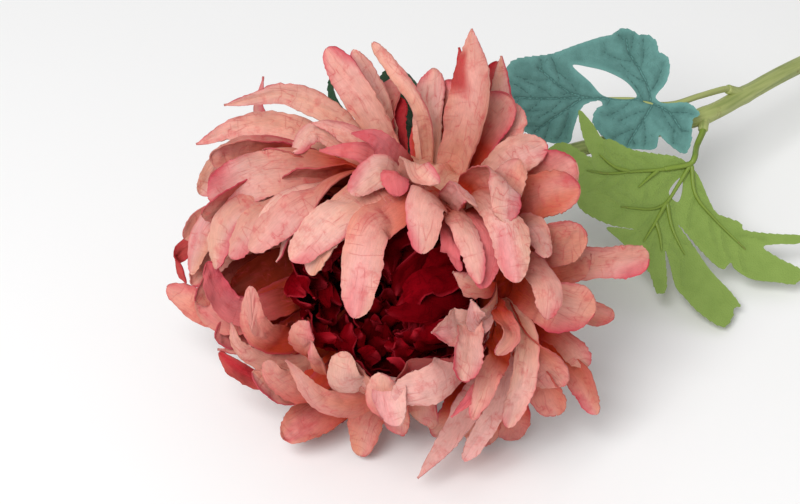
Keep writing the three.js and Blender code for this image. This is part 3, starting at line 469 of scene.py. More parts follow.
def sheet_faces(rows, cols):
    """Quads of a closed sheet: a front grid, a back grid behind it and a rim between them."""
    index = np.arange(rows * cols).reshape(rows, cols)
    a, b = index[:-1, :-1].ravel(), index[:-1, 1:].ravel()
    c, d = index[1:, 1:].ravel(), index[1:, :-1].ravel()
    back = rows * cols
    front = np.stack([a, d, c, b], axis=1)
    behind = np.stack([a, b, c, d], axis=1) + back
    edge = np.concatenate([index[0, :], index[1:, -1], index[-1, -2::-1], index[-2:0:-1, 0]])
    after = np.roll(edge, -1)
    rim = np.stack([edge, edge + back, after + back, after], axis=1)
    return np.concatenate([front, behind, rim[:, ::-1]]).tolist()


def thick_sheet(front, thickness):
    """A grid of points and the same grid moved back by the thickness along its normals,
    where a normal is the cross product of the steps across and along the grid."""
    along = np.gradient(front, axis=0)
    across = np.gradient(front, axis=1)
    normal = unit(np.cross(along, across))
    back = front - normal * thickness
    return np.concatenate([front.reshape(-1, 3), back.reshape(-1, 3)])


def tube_walls(rows, sides):
    """Quads between rings of points, each ring joined to the next, and the points' numbers."""
    index = np.arange(rows * sides).reshape(rows, sides)
    after = np.roll(index, -1, axis=1)
    walls = np.stack([index[:-1], index[1:], after[1:], after[:-1]], axis=-1)
    return walls.reshape(-1, 4).tolist(), index


class Gather:
    """Collects closed forms into the points, faces and layers of one mesh."""

    def __init__(self):
        self.points, self.faces, self.layers, self.count = [], [], {}, 0

    def add(self, points, faces, layers):
        """Adds one form. Its faces may differ in how many corners they have."""
        self.points.append(points)
        self.faces += [[corner + self.count for corner in face] for face in faces]
        self.count += len(points)
        for key, values in layers.items():
            self.layers.setdefault(key, []).append(values)

    def build(self, name, material):
        points = np.concatenate(self.points)
        layers = {key: np.concatenate(values) for key, values in self.layers.items()}
        return mesh_object(name, points, self.faces, material, layers)


# ------------------------------------------------------------------ petals
def width_share(cut, s):
    """Half width along a petal as a share of its widest. It swells as a smooth step to a
    power from the root's share to full width, and from where it starts to close, the tip is
    a superellipse: one minus a power, to a root."""
    root, full, swell_power, close, power, root_power = {
        "round": (0.30, 0.66, 0.8, 0.78, 2.3, 0.50),
        "point": (0.32, 0.68, 0.8, 0.62, 1.45, 0.85),
        "split": (0.32, 0.66, 0.8, 0.55, 1.8, 0.55),
        "spoon": (0.42, 0.60, 0.8, 0.66, 2.2, 0.50),
        "blunt": (0.34, 0.50, 0.8, 0.88, 3.0, 0.40),
        "kite": (0.28, 0.88, 6.0, 0.86, 1.1, 0.95),
    }[cut]
    x = np.clip(s / full, 0, 1)
    swell = root + (1 - root) * (x * x * (3 - 2 * x)) ** swell_power
    y = np.clip((s - close) / (1 - close), 0, 1)
    return swell * np.maximum(1 - y**power, 0) ** root_power


def turn_to_look(along, wide, inner):
    """The turn about the way along that sets a petal's width square to LOOK, whichever face
    is nearer, read at the tip and kept even along the petal by unwrapping it in half turns."""
    wanted = unit(np.cross(along, LOOK))
    turn = np.arctan2((wanted * inner).sum(axis=1), (wanted * wide).sum(axis=1))
    turn = np.unwrap(2 * turn) / 2
    return turn - np.pi * np.round(turn[-1] / np.pi)


def petal_frame(places, s, roll, look):
    """A petal's middle line at shares s of its length, its length, the way along it, and the
    directions of its width and of its inner face. The width, square to the way along and to
    the way out from the axis, is turned by the roll and by look times the turn to LOOK, and
    the turn grows over the first half."""
    line, length = smooth_path(places, s)
    along = unit(np.gradient(line, axis=0))
    across = np.cross(AXIS, unit(places[1] - HEART - ((places[1] - HEART) @ AXIS) * AXIS))
    wide = unit(across - (along @ across)[:, None] * along)
    inner = np.cross(along, wide)
    angle = (math.radians(roll) + look * turn_to_look(along, wide, inner)) * np.minimum(1, 2 * s)
    cos, sin = np.cos(angle)[:, None], np.sin(angle)[:, None]
    return line, length, along, wide * cos + inner * sin, inner * cos - wide * sin


def crumples(aside, run, t, rng):
    """Soft swells and finer ones, creases as the absolute value of a ripple to a power, and
    a wave that grows towards the hems."""
    soft = 0.7 * ripple(aside / 9, run / 13, rng, 7, 1.2)
    fine = 0.3 * ripple(aside / 3.2, run / 4.5, rng, 7)
    crease = 0.55 * np.abs(ripple(aside / 7, run / 5, rng, 5)) ** 0.7
    hem_wave = 1.1 * np.abs(t) ** 3 * ripple(run / 10, np.sign(t) * 3, rng, 5)
    return soft + fine - crease + hem_wave


def petal_grid(places, width, rng, roll=0, cup=0.5, cut="round", look=0, hollow=False,
               rows=58, cols=17, crush=1.0):
    """The inner face of a petal: an arc of circle across its width, with crumples and a
    groove along the middle, and with hems that wander and fray. They are smaller near the
    root and where the petal is narrow. Rows crowd towards the tip. A hollow petal's sides
    rise towards LOOK, and another's rise from its inner face. A split petal's middle falls
    short of its tip."""
    s = 1 - (1 - np.linspace(0, 1, rows)) ** 1.45
    line, length, along, wide, inner = petal_frame(places, s, roll, look)
    t = np.linspace(-1, 1, cols)[None, :]
    run = (s * length)[:, None]
    grow = np.minimum(1, 2.5 * s)[:, None]
    half = np.maximum(width_share(cut, s) * width / 2, 0.12)[:, None]
    narrow = np.minimum(1, half / 3)
    fray = np.minimum(0.17, 0.2 * half) * rng.standard_normal((rows, 2))
    hems = [0.45 * ripple(run / 11, 0, rng, 4) * grow + fray[:, side, None] for side in (0, 1)]
    curl = np.maximum(cup * (1.5 - 0.8 * s), 0.05)[:, None]
    aside = half * np.sin(curl * t) / curl
    aside = aside + np.where(t < 0, -hems[0], hems[1]) * np.abs(t) ** 4 * narrow
    lift = half * (1 - np.cos(curl * t)) / curl
    lift = lift + crush * grow * crumples(aside, run, t, rng) * narrow
    lift = lift - 0.4 * np.exp(-((t / 0.12) ** 2)) * (1 - 0.7 * s[:, None])
    if hollow and inner[-8] @ LOOK < 0:
        lift = -lift
    middle = line[:, None, :]
    if cut == "split":
        notch = np.exp(-((t / 0.22) ** 2)) * np.clip((s[:, None] - 0.72) / 0.28, 0, 1)
        middle = middle - along[:, None, :] * (notch * 0.14 * length)[..., None]
    grid = middle + aside[..., None] * wide[:, None, :] + lift[..., None] * inner[:, None, :]
    return grid, s, t[0], aside, length


def dye_mix(low, high, amount):
    """Two colours mixed by an amount for each point."""
    amount = np.clip(np.asarray(amount), 0, 1)[..., None]
    return np.asarray(low) * (1 - amount) + np.asarray(high) * amount


def petal_dyes(s, t, dyes, kind, rng):
    """Colours over a petal, alike on both faces because the dye soaks through. Cream cloth
    takes the body dye in soft patches and the root dye from its foot, partly dye and partly
    painted shade where the petal goes down into the bloom, and the tip dye washes in from
    the tip and the hems where a soft random wash is high. Some kinds then take dyes of their
    own, among them dark red-brown painted shade on the petals deep inside."""
    s, t = np.broadcast_arrays(s[:, None], t[None, :])
    wash = ripple(s * 1.8, t * 0.5, rng, 5)
    patch = ripple(s * 2.6, t * 0.8, rng, 5)
    dye = dye_mix(dyes["cream"], dyes["body"], rng.uniform(0.25, 0.75) + 0.45 * patch)
    start = FADE_STARTS.get(kind, USUAL_FADE_START)
    # Partly painted shade: the root dye darkens the foot, where the petal goes down into the bloom.
    foot = 1 - np.clip((s - start) / rng.uniform(0.34, 0.56), 0, 1)
    dye = dye_mix(dye, dyes["root"], foot**1.2 * (0.15 if kind in ("cream", "blush") else 1.0))
    if kind == "peach":
        dye = dye_mix(dye, dyes["root"], 0.28 + 0.15 * patch)
    pale = np.clip((s - start) / 0.4, 0, 1)
    dye = dye_mix(dye, dyes["pale"], pale * (0.55 + 0.5 * wash) * (0.5 if kind == "peach" else 1))
    dye = dye * rng.uniform(0.93, 1.07)
    aside = 0.35 + 0.65 * np.abs(t)
    stain = rng.uniform(0, 0.12) + 0.5 * np.clip(0.25 - patch, 0, 1) * s * aside
    dye = dye_mix(dye, dyes["tip"], stain)
    reach = rng.uniform(0.88, 1.02)
    dye = dye_mix(dye, dyes["tip"], 0.7 * aside * np.clip((s - reach + 0.3 * wash) / 0.12, 0, 1))
    hem = np.clip((np.abs(t) - 0.76) / 0.24, 0, 1) ** 2 * np.clip(2 * s, 0, 1)
    dye = dye_mix(dye, dyes["tip"], hem * np.clip(0.2 + 1.2 * wash, 0, 1))
    band = np.clip((s - 0.68) / 0.06, 0, 1) * np.clip((0.93 - s) / 0.05, 0, 1)
    own = {
        # Painted shade: pink petals take the dark red-brown dye below 0.74 of their length, and the
        # kind for petals deep inside takes it all over.
        "pink": [("tip", 0.25 + 0.55 * s), ("ember", (0.74 - s) / 0.2)],
        "pale": [("pale", 0.6)],
        "ember": [("ember", 1 + 0.2 * wash)],
        "crimson": [("crimson", 0.85 + 0.15 * wash)],
        "wine": [("wine", 0.8 + 0.2 * wash)],
        "blush": [("crimson", band * np.clip((t - 0.15 + 0.4 * wash) / 0.25, 0, 1) * 0.8)],
    }
    for name, amount in own.get(kind, []):
        dye = dye_mix(dye, dyes[name], amount)
    return dye


def cloth_layers(aside, s, length, dye, rng):
    """A petal's dyes, and its places on the cloth in millimetres: across it, along it, and
    on from a random spot. Its back is read further on."""
    along = (s * length)[:, None] + 0 * aside
    place = np.stack([aside, along, 0 * aside], axis=-1).reshape(-1, 3)
    place = place + rng.uniform(0, CLOTH_REACH, 3)
    dye = dye.reshape(-1, 3)
    return {"cloth_place": np.concatenate([place, place + BACK_SHIFT]),
            "cloth_dye": np.concatenate([dye, dye])}


def add_petal(gather, places, width, rng, dyes, kind, thickness, **shape):
    """Adds one closed petal with its dyes."""
    grid, s, t, aside, length = petal_grid(places, width, rng, **shape)
    points = thick_sheet(clear_of_cup(grid), thickness)
    points[:, 2] = np.maximum(points[:, 2], LOWEST_BACK)
    dye = petal_dyes(s, t, dyes, kind, rng)
    gather.add(points, sheet_faces(*grid.shape[:2]), cloth_layers(aside, s, length, dye, rng))


def rooted(places):
    """A petal's places in the bloom with its root at the core before them and, on a short
    path, a low knee: 0.55 of the way out and 0.28 of the way up to the first place."""
    bearing, reach, rise = places[0]
    full = [(bearing, ROOT_REACH, ROOT_RISE)]
    if len(places) < 3:
        knee = ROOT_REACH + 0.55 * (reach - ROOT_REACH)
        full.append((bearing, knee, ROOT_RISE + 0.28 * (rise - ROOT_RISE)))
    return np.array([bloom_point(*place) for place in full + list(places)])


def petal_ring(count, start, span, width, belly, tip, dye, draws):
    """Rows for a ring of like petals, each a little off its even place and of its own width."""
    rows = []
    for i in range(count):
        bearing = start + span * (i + 0.5) / count + draws(-5, 5)
        middle = (bearing, belly[0] + draws(-4, 4), belly[1] + draws(-2, 2))
        end = (bearing + draws(-6, 6), tip[0] + draws(-4, 4), tip[1] + draws(-4, 4))
        rows.append((width * draws(0.9, 1.1), [middle, end], {"dye": dye}))
    return rows


def counted_draws(seed):
    """Repeatable draws between two limits: each number is 16807 times the last, modulo
    2147483647, as a share of that."""
    state = {"seed": seed}

    def draw(low, high):
        state["seed"] = (state["seed"] * 16807) % 2147483647
        return low + (high - low) * (state["seed"] / 2147483647)

    return draw


def back_rings():
    """The rings of like petals behind and to the left of the bloom, and the draws after
    them, so that the wine cup goes on with the same run of numbers. The last petal of the
    rings is tucked down behind its neighbours."""
    draws = counted_draws(SEEDS["places"])
    rings = []
    for ring in BACK_RINGS:
        rings += petal_ring(*ring, draws)
    width, (belly, tip), options = rings[-1]
    rings[-1] = (width, [belly, (tip[0], tip[1] - 6, tip[2] - 16)], options)
    return rings, draws


def wine_rows(draws, count):
    """The wine cup's petals in a golden-angle spiral, low in the middle and tall at the rim:
    reach and height grow by a power of each petal's share of the count, and its tip leans in
    and aside."""
    rows = []
    for i in range(count):
        share = (i + 0.5) / count
        bearing = GOLDEN_ANGLE * i + draws(-8, 8)
        rim = (6 + 28 * share**0.62) * draws(0.86, 1.0)
        tall = (13 + 39 * share**0.9) * draws(0.78, 1.0)
        places = [
            (bearing, rim * 0.4, 6 - 2 * share),
            (bearing, rim * 0.92, tall * 0.32),
            (bearing, rim, tall * 0.68),
            (bearing + draws(-9, 9), rim * draws(0.8, 0.95) - 1, tall * 0.9),
            (bearing + draws(-22, 22), rim * draws(0.5, 0.85) - 2, tall + draws(-3, 3)),
        ]
        rows.append((7 + 3 * share, places))
    return rows


def turned_form(profile, sides, relief):
    """Points and faces of a closed form turned about the bloom's axis: each [reach, rise] of
    the profile goes round it, and relief(turn, share) moves it out. Its ends are poles."""
    turn = np.linspace(0, 2 * np.pi, sides, endpoint=False)[None, :]
    shares = np.linspace(0, 1, FORM_STEPS)[1:-1]
    curve, _ = smooth_path(profile, shares)
    reach = curve[:, :1] + relief(turn, shares[:, None]) * np.clip(curve[:, :1] / 8, 0, 1)
    ring = reach[..., None] * outward(np.degrees(turn)) + curve[:, 1:, None] * AXIS
    ends = np.array([profile[0][1], profile[-1][1]])[:, None] * AXIS
    walls, index = tube_walls(len(curve), sides)
    pole = np.full(sides, index.size)
    low = np.stack([index[0], np.roll(index[0], -1), pole], axis=1).tolist()
    high = np.stack([np.roll(index[-1], -1), index[-1], pole + 1], axis=1).tolist()
    return HEART + np.concatenate([ring.reshape(-1, 3), ends]), walls + low + high


# ------------------------------------------------------------------ leaves
def leaf_points(leaf, flat, offset):
    """Places over points of the flat outline: base plus right and up, raised towards you by
    the leaf's bow and an offset."""
    right, up, toward = view_axes(*leaf["view"])
    x, y = flat[:, 0], flat[:, 1]
    raised = leaf["bow"](x, y) + offset
    return np.array(leaf["base"]) + x[:, None] * right + y[:, None] * up + raised[:, None] * toward


def line_gap(places, lines):
    """The least distance from each place to any of the lines, stretch by stretch: the place
    is dropped square on to the stretch, within its ends."""
    starts = np.concatenate([line[:-1] for line in lines])
    step = np.concatenate([line[1:] for line in lines]) - starts
    rel = places[:, None, :] - starts[None]
    share = np.clip((rel * step).sum(-1) / np.maximum((step**2).sum(-1), 1e-9), 0, 1)
    return np.linalg.norm(rel - share[..., None] * step, axis=-1).min(axis=1)


def inside_outline(places, outline):
    """True where a ray to the right from the place crosses the outline an odd number of times."""
    x, y = places[:, :1], places[:, 1:]
    a, b = outline, np.roll(outline, -1, axis=0)
    spans = (a[:, 1] > y) != (b[:, 1] > y)
    slope = np.where(b[:, 1] == a[:, 1], 1, b[:, 1] - a[:, 1])
    cross = a[:, 0] + (y - a[:, 1]) * (b[:, 0] - a[:, 0]) / slope
    return (spans & (x < cross)).sum(axis=1) % 2 == 1


def on_leaf(places, rings):
    """True inside the first ring, which is the leaf's edge, and outside the others."""
    inside = inside_outline(places, rings[0])
    for hole in rings[1:]:
        inside &= ~inside_outline(places, hole)
    return inside


def toothed(edge):
    """A cut edge with small saw teeth, deeper where a slow wave is high."""
    step = np.roll(edge, -1, axis=0) - np.roll(edge, 1, axis=0)
    out = unit(np.stack([step[:, 1], -step[:, 0]], axis=1))
    out *= np.sign((step[:, 1] * edge[:, 0] - step[:, 0] * edge[:, 1]).sum())
    run = np.arange(len(edge)) * EDGE_STEP
    depth = 0.3 + 0.2 * np.sin(run / 9)
    return edge + out * (depth * ((run / TOOTH_LENGTH) % 1 - 0.6))[:, None]


def leaf_triangles(leaf):
    """The flat leaf as triangles between its cut edge, its hole and a grid of points, and
    its rings, closed."""
    rings = [toothed(smooth_outline(leaf["outline"], EDGE_STEP))]
    if leaf["hole"]:
        rings.append(smooth_outline(leaf["hole"], HOLE_STEP))
    closed = [np.vstack([ring, ring[:1]]) for ring in rings]
    low, high = rings[0].min(axis=0), rings[0].max(axis=0)
    x, y = np.meshgrid(np.arange(low[0], high[0], LEAF_PITCH),
                       np.arange(low[1], high[1], LEAF_PITCH * 0.866))
    x = x + (np.arange(len(x)) % 2)[:, None] * LEAF_PITCH / 2
    grid = np.stack([x.ravel(), y.ravel()], axis=1)
    grid = grid[on_leaf(grid, rings) & (line_gap(grid, closed) > 0.5 * LEAF_PITCH)]
    loops, count = [], 0
    for ring in rings:
        at = np.arange(len(ring)) + count
        loops.append(np.stack([at, np.roll(at, -1)], axis=1))
        count += len(ring)
    points = [Vector(place) for place in np.vstack(rings + [grid]).tolist()]
    made = delaunay_2d_cdt(points, np.vstack(loops).tolist(), [], 0, 1e-4)
    places, faces = np.array([tuple(v) for v in made[0]]), np.array(made[2])
    corner = places[faces]
    first, second = corner[:, 1] - corner[:, 0], corner[:, 2] - corner[:, 0]
    area = first[:, 0] * second[:, 1] - first[:, 1] * second[:, 0]
    faces = np.where(area[:, None] < 0, faces[:, ::-1], faces)
    faces = faces[on_leaf(corner.mean(axis=1), rings) & (np.abs(area) > 1e-6)]
    used, index = np.unique(faces, return_inverse=True)
    return places[used], index.reshape(-1, 3), closed


def side_veins(parents, walls, spacing, reach, rng):
    """Veins that leave their parents on either side in turn at about 50 degrees and bend
    towards its tip, step by step, until they are long enough or come near a wall."""
    veins = []
    for parent in parents:
        step, run = np.diff(parent, axis=0), run_along(parent)
        for number, at in enumerate(np.arange(0.7 * spacing, run[-1], spacing)):
            k = min(np.searchsorted(run, at), len(step)) - 1
            heading = math.atan2(step[k, 1], step[k, 0])
            turn = math.radians(rng.uniform(46, 58)) * (1 if number % 2 else -1)
            path = [parent[k + 1]]
            while len(path) * VEIN_STEP < reach * rng.uniform(0.9, 1.1):
                way = np.array([math.cos(heading + turn), math.sin(heading + turn)])
                place = path[-1] + VEIN_STEP * way
                if len(path) > 2 and line_gap(place[None], walls)[0] < 1.1:
                    break
                path.append(place)
                turn *= 0.95
            if len(path) > 3:
                veins.append(np.array(path))
    return veins


def leaf_sheet(leaf, thickness):
    """Points, faces and layers of a leaf. The fabric dips along each vein by a bell curve
    and swells between them, and both faces carry the same triangles."""
    flat, front, closed = leaf_triangles(leaf)
    rng = np.random.default_rng(SEEDS["leaf"])
    ribs = [smooth_path(line, np.linspace(0, 1, 24))[0] for line in leaf["ribs"]]
    veins = side_veins(ribs, ribs + closed, spacing=4.2, reach=13, rng=rng)
    fine = side_veins(veins, ribs + veins + closed, spacing=2.4, reach=4, rng=rng)
    rib_gap, edge_gap = line_gap(flat, ribs), line_gap(flat, closed)
    vein_gap = np.minimum(rib_gap, line_gap(flat, veins))
    fine_gap = line_gap(flat, fine)
    swell = 0.45 * (1 - np.exp(-vein_gap / 3.5)) - 0.35 * np.exp(-((vein_gap / 0.9) ** 2))
    wave = 0.5 * ripple(flat[:, 0] / 16, flat[:, 1] / 16, rng, 6) * np.clip(rib_gap / 6, 0, 1)
    lift = (swell + wave) * -leaf["rib_side"] * 0.9
    count = len(flat)
    points = np.concatenate([
        leaf_points(leaf, flat, lift + thickness / 2),
        leaf_points(leaf, flat, lift - thickness / 2)])
    ends = np.concatenate([front[:, [0, 1]], front[:, [1, 2]], front[:, [2, 0]]])
    keys, back_keys = ends[:, 0] * count + ends[:, 1], ends[:, 1] * count + ends[:, 0]
    rim = ends[~np.isin(keys, back_keys)]
    walls = np.stack([rim[:, 0], rim[:, 0] + count, rim[:, 1] + count, rim[:, 1]], axis=1)
    faces = front.tolist() + (front[:, ::-1] + count).tolist() + walls.tolist()
    place = np.column_stack([flat, np.zeros(count)])
    side = np.repeat([1.0, 0.0], count)
    layers = {
        "cloth_place": np.concatenate([place, place + 60]),
        "rib_gap": np.tile(rib_gap, 2),
        "vein_gap": np.tile(vein_gap, 2),
        "fine_gap": np.tile(fine_gap, 2),
        "edge_gap": np.tile(edge_gap, 2),
        "printed": side if leaf["rib_side"] < 0 else 1 - side,
    }
    return points, faces, layers


# ------------------------------------------------------------------ round rods
def rod(path, radii, sides, side_hint, bevel, relief=None):
    """Points, faces and layers of a closed rod: circles round a path, square to it, with a
    radius at each station that draws in over a short bevel at both ends. relief(turn, run)
    is added to the radius. The surface is laid out by how far it is round and along."""
    along = unit(np.gradient(path, axis=0))
    first = unit(np.cross(along, np.asarray(side_hint, dtype=float)))
    second = np.cross(first, along)
    turn = np.linspace(0, 2 * np.pi, sides, endpoint=False)[None, :]
    run = run_along(path)
    radii = np.asarray(radii, dtype=float)[:, None] + np.zeros_like(turn)
    if relief is not None:
        radii = radii + relief(turn, run[:, None])
    ends = np.minimum(run, run[-1] - run)[:, None]
    radii = radii * (1 - 0.45 * np.clip(1 - ends / bevel, 0, 1) ** 2)
    circle = (np.cos(turn)[..., None] * first[:, None] + np.sin(turn)[..., None] * second[:, None])
    points = path[:, None] + radii[..., None] * circle
    walls, index = tube_walls(len(path), sides)
    caps = [index[0].tolist(), index[-1, ::-1].tolist()]
    down = run[:, None] + 0 * turn
    place = np.stack([turn * radii.mean() + 0 * down, down, down], axis=-1)
    return points.reshape(-1, 3), walls + caps, {"rod_place": place.reshape(-1, 3)}


def rod_shares(length, pitch, bevel):
    """Shares of a rod's length for its stations, with three close to each end."""
    middle = np.linspace(bevel, length - bevel, max(int(length / pitch), 4))
    return np.concatenate([[0, bevel * 0.3, bevel * 0.65], middle,
                           [length - bevel * 0.65, length - bevel * 0.3, length]]) / length


def add_rod(gather, stops, radii, sides, side_hint, pitch, bevel, relief=None):
    """Adds a rod through the stops, its radius even between those given at each stop."""
    stops = np.asarray(stops, dtype=float)
    length = smooth_path(stops, [0])[1]
    shares = rod_shares(length, pitch, bevel)
    path, _ = smooth_path(stops, shares)
    dense, _ = smooth_path(stops, np.linspace(0, 1, 400))
    at = [np.linalg.norm(dense - stop, axis=1).argmin() / 399 for stop in stops]
    gather.add(*rod(path, np.interp(shares, at, radii), sides, side_hint, bevel, relief))


def rib_lift(leaf, radius, thickness):
    """How far a rib's middle stands off the leaf's own: half the fabric's thickness, 0.6 of
    the rib's radius and 0.2 mm. The fabric rises to the rib along a vein, so the rib's
    underside is sunk in it."""
    return leaf["rib_side"] * (thickness / 2 + 0.6 * radius + 0.2)


def add_stalk(gather, leaf, stalk, thickness):
    """The ribs pressed on to a leaf and the stalk that carries them from its socket."""
    toward = view_axes(*leaf["view"])[2]
    for line in leaf["ribs"]:
        flat, _ = smooth_path(line, np.linspace(0, 1, RIB_STEPS))
        radii = np.linspace(*RIB_RADII, RIB_STEPS)
        lift = np.array([rib_lift(leaf, radius, thickness) for radius in radii])
        path = leaf_points(leaf, flat, lift)
        gather.add(*rod(path, radii, sides=10, side_hint=toward, bevel=1.2))
    root, mouth = np.array(stalk["root"], float), np.array(stalk["mouth"], float)
    inside = mouth - 2.5 * unit(mouth - root)
    ends = np.array(leaf["ribs"][0][:2], dtype=float)
    seats = leaf_points(leaf, ends, np.full(2, rib_lift(leaf, 1.1, thickness)))
    stops = np.vstack([inside, mouth, np.array(stalk["bends"], float), seats])
    radii = [1.3, 1.3] + [1.2] * len(stalk["bends"]) + [1.1, 1.0]
    add_rod(gather, stops, radii, sides=14, side_hint=toward, pitch=1.2, bevel=0.8)


# ------------------------------------------------------------------ materials
class Graph:
    """Adds nodes to one material or node group and joins them."""

    def __init__(self, tree):
        self.tree = tree

    def feed(self, socket, value):
        if isinstance(value, bpy.types.NodeSocket):
            self.tree.links.new(value, socket)
        else:
            socket.default_value = value

    def node(self, kind, inputs, **settings):
        node = self.tree.nodes.new(kind)
        for key, value in settings.items():
            setattr(node, key, value)
        for key, value in inputs.items():
            self.feed(node.inputs[key], value)
        return node

    def maths(self, operation, a, b=0.0):
        return self.node("ShaderNodeMath", {0: a, 1: b}, operation=operation).outputs[0]

    def stretch(self, vector, scale):
        inputs = {0: vector, 1: scale}
        return self.node("ShaderNodeVectorMath", inputs, operation="MULTIPLY").outputs[0]

    def weighted(self, *terms):
        """The sum of values, each times its weight."""
        total = self.maths("MULTIPLY", *terms[0])
        for term in terms[1:]:
            total = self.maths("ADD", total, self.maths("MULTIPLY", *term))
        return total

    def weave(self, place, pitch):
        """Threads both ways: the sine of the way across times the sine of the way along."""
        ways = self.node("ShaderNodeSeparateXYZ", {0: place}).outputs
        waves = [self.maths("SINE", self.maths("MULTIPLY", ways[i], pitch)) for i in (0, 1)]
        return self.maths("MULTIPLY", *waves)

    def noise(self, vector, scale, detail=2.0, roughness=0.5):
        inputs = {"Vector": vector, "Scale": scale, "Detail": detail, "Roughness": roughness}
        return self.node("ShaderNodeTexNoise", inputs).outputs["Fac"]

    def between(self, value, low, high, start=0.0, end=1.0):
        """Eases from start to end as the value goes from low to high."""
        inputs = {"Value": value, "From Min": low, "From Max": high, "To Min": start, "To Max": end}
        node = self.node("ShaderNodeMapRange", inputs, interpolation_type="SMOOTHSTEP")
        return node.outputs["Result"]

    def mix(self, factor, a, b, blend="MIX"):
        node = self.node("ShaderNodeMix", {}, data_type="RGBA", blend_type=blend)
        for socket, value in ((0, factor), (6, a), (7, b)):
            self.feed(node.inputs[socket], value)
        return node.outputs[2]

    def attribute(self, name, output="Vector"):
        node = self.node("ShaderNodeAttribute", {}, attribute_name=name)
        return node.outputs[output]

    def bump(self, height, distance):
        inputs = {"Height": height, "Distance": distance, "Strength": 1.0}
        return self.node("ShaderNodeBump", inputs).outputs["Normal"]


def dyed_cloth(graph, source, result):
    """Crushed dyed cloth: threads both ways, long fibres, blotches of dye and a few darker
    crease lines that wander over it."""
    place, dye, crease_dye = source["Place"], source["Dye"], source["Crease Dye"]
    fibres = graph.noise(graph.stretch(place, (2.2, 0.4, 1.0)), 1.0, 3.0)
    grain = graph.noise(place, 2.6)
    blotch = graph.noise(place, 0.13, 3.0, 0.6)
    thin_lines, wide_lines = [], []
    for stretch, patch_size in (((0.3, 0.05, 0.1), 0.11), ((0.07, 0.24, 0.1), 0.14)):
        field = graph.noise(graph.stretch(place, stretch), 1.0, 1.4, 0.45)
        level = graph.maths("ABSOLUTE", graph.maths("SUBTRACT", field, 0.5))
        patch = graph.between(graph.noise(place, patch_size), 0.44, 0.6)
        for lines, width, depth in ((thin_lines, 0.009, 1.0), (wide_lines, 0.05, 0.3)):
            near = graph.between(level, 0.0, width, depth, 0.0)
            lines.append(graph.maths("MULTIPLY", near, patch))
    line, soft = graph.maths("MAXIMUM", *thin_lines), graph.maths("MAXIMUM", *wide_lines)
    crease = graph.maths("MULTIPLY", graph.maths("MAXIMUM", line, soft), source["Creases"])
    tone = graph.maths("MULTIPLY", graph.between(blotch, 0.3, 0.7, 0.93, 1.05),
                       graph.between(fibres, 0.3, 0.7, 0.94, 1.04))
    grey = graph.node("ShaderNodeCombineColor", {0: tone, 1: tone, 2: tone}).outputs[0]
    stain = graph.between(graph.noise(place, 0.2, 4.0, 0.65), 0.5, 0.72, 0.0, 0.45)
    plain = graph.mix(stain, graph.mix(1.0, dye, grey, "MULTIPLY"), crease_dye)
    graph.feed(result["Color"], graph.mix(crease, plain, crease_dye))
    weave = graph.weave(place, 11.4)
    graph.feed(result["Height"], graph.weighted((fibres, 0.5), (grain, 0.25), (weave, 0.06),
                                                (line, -0.2)))


def printed_leaf(graph, source, result):
    """Print on a fabric leaf: pale midribs with dark sides, dark veins with a soft shade
    beside them, mottling and a paler cut edge. Gaps are millimetres from these lines."""
    place = source["Place"]
    wander = graph.between(graph.noise(place, 0.9, 3.0), 0.2, 0.8, -0.22, 0.22)
    rib = graph.maths("ADD", source["Rib Gap"], wander)
    vein = graph.maths("ADD", source["Vein Gap"], wander)
    core = graph.maths("MAXIMUM", graph.between(rib, 0.3, 0.75, 0.8, 0.0),
                       graph.between(vein, 0.08, 0.36, 0.75, 0.0))
    fine = graph.between(source["Fine Gap"], 0.04, 0.32, 0.45, 0.0)
    shade = graph.maths("MAXIMUM", graph.between(vein, 0.0, 2.6, 0.3, 0.0), fine)
    mask = graph.maths("MULTIPLY", graph.maths("MAXIMUM", core, shade), source["Strength"])
    mottle = graph.between(graph.noise(place, 0.14, 4.0, 0.6), 0.35, 0.68)
    base = graph.mix(mottle, source["Leaf"], source["Mottle"])
    base = graph.mix(graph.between(source["Edge Gap"], 0.2, 2.5, 0.6, 0.0), base, source["Edge"])
    color = graph.mix(mask, base, source["Vein"])
    midrib = graph.between(rib, 0.1, 0.35, 0.5, 0.0)
    graph.feed(result["Color"], graph.mix(midrib, color, source["Edge"]))
    graph.feed(result["Height"], graph.weighted(
        (graph.weave(place, 10.0), 0.1), (graph.noise(place, 1.6, 3.0), 1.0), (core, -0.5)))


def moulded_plastic(graph, source, result):
    """Satin moulded plastic: streaks along the rod, a mottled tint and fine orange peel."""
    place = source["Place"]
    streak = graph.noise(graph.stretch(place, (0.7, 0.025, 0.025)), 1.0, 3.0)
    cloud = graph.noise(place, 0.12, 3.0)
    peel = graph.noise(place, 2.2)
    color = graph.mix(graph.between(streak, 0.35, 0.7), source["Tint"], source["Shade"])
    flecks = graph.maths("MULTIPLY", graph.between(cloud, 0.56, 0.7),
                         graph.between(graph.noise(place, 0.8, 3.0), 0.45, 0.7))
    graph.feed(result["Color"], graph.mix(flecks, color, source["Mark"]))
    graph.feed(result["Roughness"], graph.between(cloud, 0.3, 0.7, 0.38, 0.58))
    graph.feed(result["Height"], graph.weighted((streak, 0.5), (peel, 0.4)))


